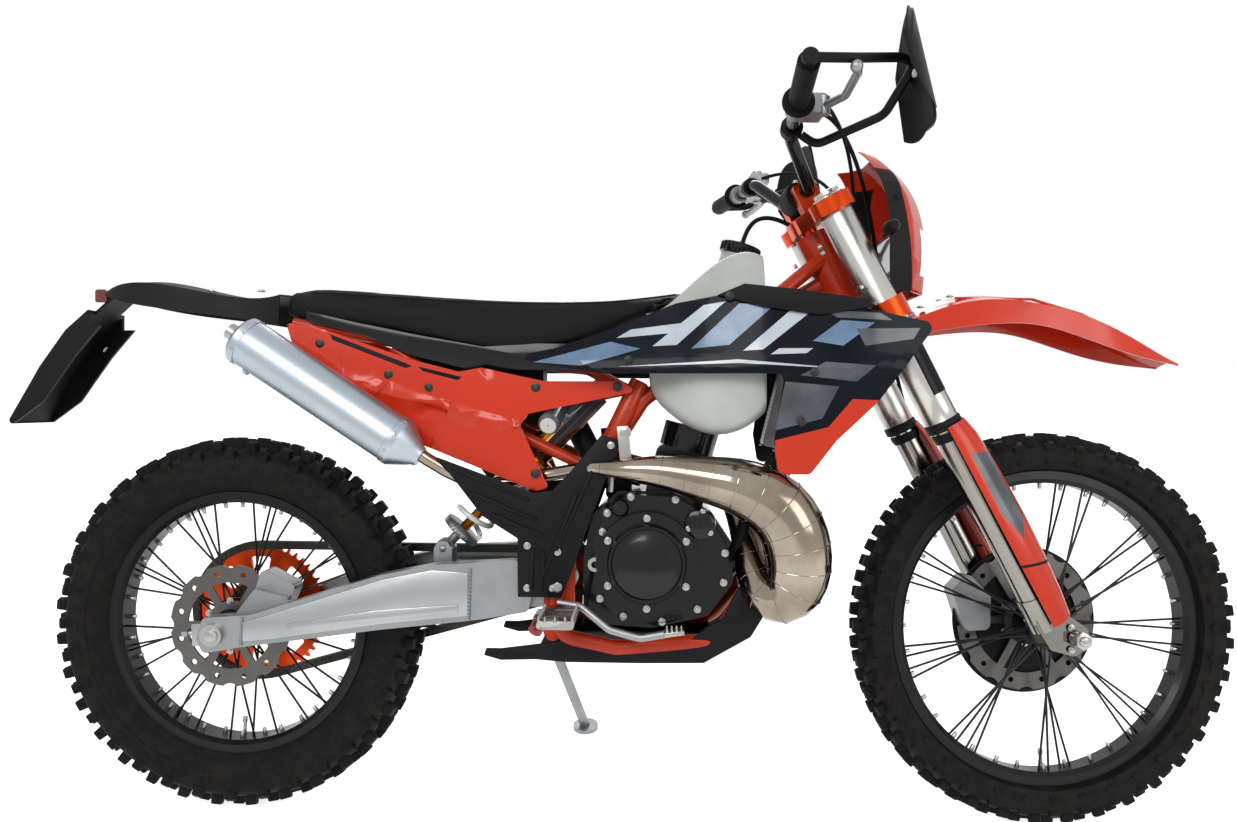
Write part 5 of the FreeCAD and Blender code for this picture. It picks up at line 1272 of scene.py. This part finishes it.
# Shock: gold body, grey reservoir with a round cap, and a silver eye
shock = {
    "eye": (388, 484), "gold": (60, 300), "reservoir": (590, -56, 731), "cap": (583, -119, 706),
    "axis": (-0.1, -0.9, -0.35),
}


def shockZone(spot, normal, middle):
    if spot.x > 585 and spot.y < -50:
        return "graphicGrey"
    along = (spot.x - shock["eye"][0]) * 0.7 + (spot.z - shock["eye"][1]) * 0.7
    inGold = shock["gold"][0] < along < shock["gold"][1] and abs(spot.y + 40) < 60
    return "goldAnodised" if inGold else "castAluminium"


def addReservoir():
    mesh, bright = bmesh.new(), bmesh.new()
    body = [(0, 1), (0, 17), (2, 19), (66, 19), (70, 16), (70, 1)]
    putTurned(mesh, body, 40, shock["reservoir"], shock["axis"])
    newPiece("shock_reservoir", mesh, ["graphicGrey"], "chassis")
    putTurned(bright, [(0, 1), (0, 15), (4, 14), (4, 1)], 36, shock["cap"], shock["axis"])
    newPiece("reservoir_cap", bright, ["boltSteel"], "chassis")


dressNode("shock_body", "chassis", shockZone)
addReservoir()


# Swingarm: axle blocks with adjusters, black chain sliders, pressed side panels and weld beads
arm = {
    "plate": [(52, 328), (96, 332), (296, 362), (446, 378), (446, 452), (384, 456), (296, 438), (96, 374),
              (52, 362)],
    "rib": [(130, 346), (290, 368), (430, 384), (430, 398), (290, 386), (130, 360)],
    "welds": [(50, 322, 368), (448, 372, 456)], "beads": 14,
}


def addArmDetail():
    bright, dark, panel, weld = bmesh.new(), bmesh.new(), bmesh.new(), bmesh.new()
    z = stance["rearRadius"]
    for sign in (-1, 1):
        putBlock(bright, (-6, sign * 117, z), (66, 8, 40), tilt(-3), 3)
        putRod(bright, (0, sign * 119, z), (0, sign * 130, z), 17, sides=6, edge=1.4)
        putRod(bright, (0, sign * 130, z), (0, sign * 135, z), 11, 9, sides=32, edge=1.0)
        putRod(bright, (-62, sign * 106, z - 2), (-34, sign * 106, z - 1), 4.4, sides=16, edge=0.8)
        putRod(bright, (-58, sign * 106, z - 2), (-50, sign * 106, z - 2), 8, sides=6, edge=0.8)
        putScrew(bright, (600, sign * 122, 430), (0, sign, 0), 9, 6, True)
        putSheet(panel, arm["plate"], sign * 121, sign * 124, 1.4)
        putSheet(panel, arm["rib"], sign * 123, sign * 126, 1.2)
        for x, low, high in arm["welds"]:
            for i in range(arm["beads"]):
                share = i / (arm["beads"] - 1)
                rise = low + (high - low) * share
                putRod(weld, (x + 2 * share - 2, sign * 122, rise),
                       (x + 2 * share + 2, sign * 123.4, rise + 1.4),
                       2.2, sides=10)
    putBlock(dark, (470, 77, 431), (130, 22, 8), tilt(-9), 2.5)
    putBlock(dark, (300, 77, 330), (86, 26, 40), None, 6)
    newPiece("axle_blocks", bright, ["brushedAluminium"], "chassis")
    newPiece("chain_slider", dark, ["blackMoulded"], "chassis")
    newPiece("arm_panels", panel, ["brushedAluminium"], "chassis")
    newPiece("arm_welds", weld, ["castAluminium"], "chassis")


addArmDetail()


# Skid plate wings and the frame's spars above the engine
skid = {
    "inner": 98, "outer": 104,
    "wing": [(470, 306), (500, 298), (560, 300), (610, 296), (741, 296), (850, 298), (930, 344), (976, 420),
             (946, 452), (915, 440), (884, 378), (830, 340), (700, 330), (610, 334), (560, 326), (500, 318),
             (474, 318)],
}


def addSkidWings():
    mesh, spar = bmesh.new(), bmesh.new()
    for sign in (-1, 1):
        putSheet(mesh, skid["wing"], sign * skid["inner"], sign * skid["outer"])
        putRod(spar, (684, sign * 84, 664), (738, sign * 74, 782), 19, 17, sides=40, edge=4)
    newPiece("skid_wings", mesh, ["blackMoulded"], "chassis")
    newPiece("frame_spars", spar, ["orangeFrame"], "chassis")


# Footpegs: teeth along both edges, and the pedal's tip with its own teeth
peg = {"edges": (581, 635), "ends": (592, 608, 624), "innerY": 140, "outerY": 235, "low": 396, "tall": 9}


def pegZone(spot, normal, middle):
    return "orangeAnodised" if abs(spot.y) < 136 else "boltSteel"


def addPegTeeth():
    mesh = bmesh.new()
    for sign in (-1, 1):
        teeth = [(x, sign * (peg["innerY"] + 11 * i)) for i in range(9) for x in peg["edges"]]
        for x, y in teeth + [(x, sign * peg["outerY"]) for x in peg["ends"]]:
            putRod(mesh, (x, y, peg["low"]), (x, y, peg["low"] + peg["tall"]), 3.2, 1.4, sides=10)
    putBlock(mesh, (798, -160, 364), (34, 26, 8), tilt(-8), 2)
    for x in (786, 794, 802, 810):
        for y in (-150, -170):
            putRod(mesh, (x, y, 366), (x, y, 373), 2.6, 1.2, sides=10)
    newPiece("peg_teeth", mesh, ["boltSteel"], "chassis")


addSkidWings()
addPegTeeth()
dressNode("footpegs", "chassis", pegZone)


# Left engine lid, lamp rings, and screws on the hand shields and bar clamps
leftLid = {"centre": (788, 462), "bolts": 5, "boltR": 70}
lampRing = {"centre": (1228, 0, 1007), "radii": (36, 26, 14), "bar": (1227, 52, 1007), "barSize": (3, 16, 66)}
barScrews = {"shield": [(1114, 330, 1214), (1132, 268, 1212)], "clamp": [(1006, 44, 1131), (1038, 44, 1131)]}


def addLeftLid():
    lid, bolts = bmesh.new(), bmesh.new()
    cx, cz = leftLid["centre"]
    putTurned(lid, [(104, 1), (104, 69.5), (108.5, 66), (110.5, 58), (109, 54), (109, 30), (111, 28),
                    (111, 1)], 64,
              (cx, 0, cz))
    for angle in turns(leftLid["bolts"], 0.3):
        x, z = cx + leftLid["boltR"] * math.cos(angle), cz + leftLid["boltR"] * math.sin(angle)
        putBoss(lid, bolts, x, z, 70, 100, 9, 1.0)
    newPiece("ignition_lid", lid, ["enginePaint"], "chassis")
    newPiece("ignition_bolts", bolts, ["boltSteel"], "chassis")


def addLampRings():
    mesh = bmesh.new()
    for radius in lampRing["radii"]:
        ring = [(-3, radius), (-3, radius - 2.4), (0.8, radius - 2.0), (0.8, radius - 0.4)]
        putTurned(mesh, ring, 48, lampRing["centre"], (1, 0, 0))
    for sign in (-1, 1):
        putBlock(mesh, mirrored(lampRing["bar"], sign), lampRing["barSize"], None, 1.0)
    newPiece("lamp_rings", mesh, ["brushedAluminium"], "steering")


def addShieldScrews():
    mesh = bmesh.new()
    for sign in (-1, 1):
        for spot in barScrews["shield"]:
            putScrew(mesh, mirrored(spot, sign), (0.94, -0.3 * sign, 0.1), 5, 3)
        for spot in barScrews["clamp"]:
            putScrew(mesh, mirrored(spot, sign), (0, 0, 1), 4.6, 5)
    newPiece("shield_screws", mesh, ["boltSteel"], "steering")


addLeftLid()
addLampRings()
addShieldScrews()
print("fork, shock and arm details made")


# Floor and light
studio = {
    "floorSize": 9.0, "floorGlow": 0.8, "skyLight": 0.42,
    "lamps": {
        "keyLight": {"place": (-1.2, -3.0, 3.2), "target": (0, 0, 0.6), "size": (2.6, 1.4), "power": 84.0},
        "fillLight": {"place": (2.6, -2.2, 1.8), "target": (0.2, 0, 0.6), "size": (1.6, 1.6), "power": 30.0},
        "backLight": {"place": (0.6, 3.0, 2.6), "target": (0, 0, 0.6), "size": (2.4, 1.2), "power": 40.0},
    },
}


def addFloor():
    grid = bmesh.new()
    bmesh.ops.create_grid(grid, x_segments=8, y_segments=8, size=studio["floorSize"] / 2)
    mesh = bpy.data.meshes.new("floor")
    grid.to_mesh(mesh)
    grid.free()
    material = bpy.data.materials.new("paleFloor")
    material.use_nodes = True
    tree = material.node_tree
    shader = tree.nodes["Principled BSDF"]
    where = addNode(tree, "ShaderNodeTexCoord").outputs["Object"]
    pale = blendColour(tree, noise(tree, where, 6.0), tint("e9e9e7"), tint("f2f2f0"))
    tree.links.new(pale, shader.inputs["Base Color"])
    shader.inputs["Roughness"].default_value = 0.9
    glow = calc(tree, "MULTIPLY", seenDirectly(tree), studio["floorGlow"])
    tree.links.new(glow, shader.inputs["Emission Strength"])
    shader.inputs["Emission Color"].default_value = (1, 1, 1, 1)
    mesh.materials.append(material)
    addObject("floor", mesh)


def addSky():
    world = bpy.data.worlds.new("studio")
    bpy.context.scene.world = world
    world.use_nodes = True
    tree = world.node_tree
    sky = tree.nodes["Background"]
    sky.inputs["Color"].default_value = (1, 1, 1, 1)
    strength = remap(tree, seenDirectly(tree), 0.0, 1.0, studio["skyLight"], 1.0)
    tree.links.new(strength, sky.inputs["Strength"])


def addLamp(name, place, target, size, power):
    data = bpy.data.lights.new(name, "AREA")
    data.shape = "RECTANGLE"
    data.size, data.size_y = size
    data.energy = power
    aim = (Vector(target) - Vector(place)).to_track_quat("-Z", "Y").to_matrix().to_4x4()
    addObject(name, data).matrix_world = Matrix.Translation(place) @ aim


addFloor()
addSky()
for name, lamp in studio["lamps"].items():
    addLamp(name, **lamp)
bpy.context.scene.view_settings.view_transform = "Standard"
print("floor and lights placed")
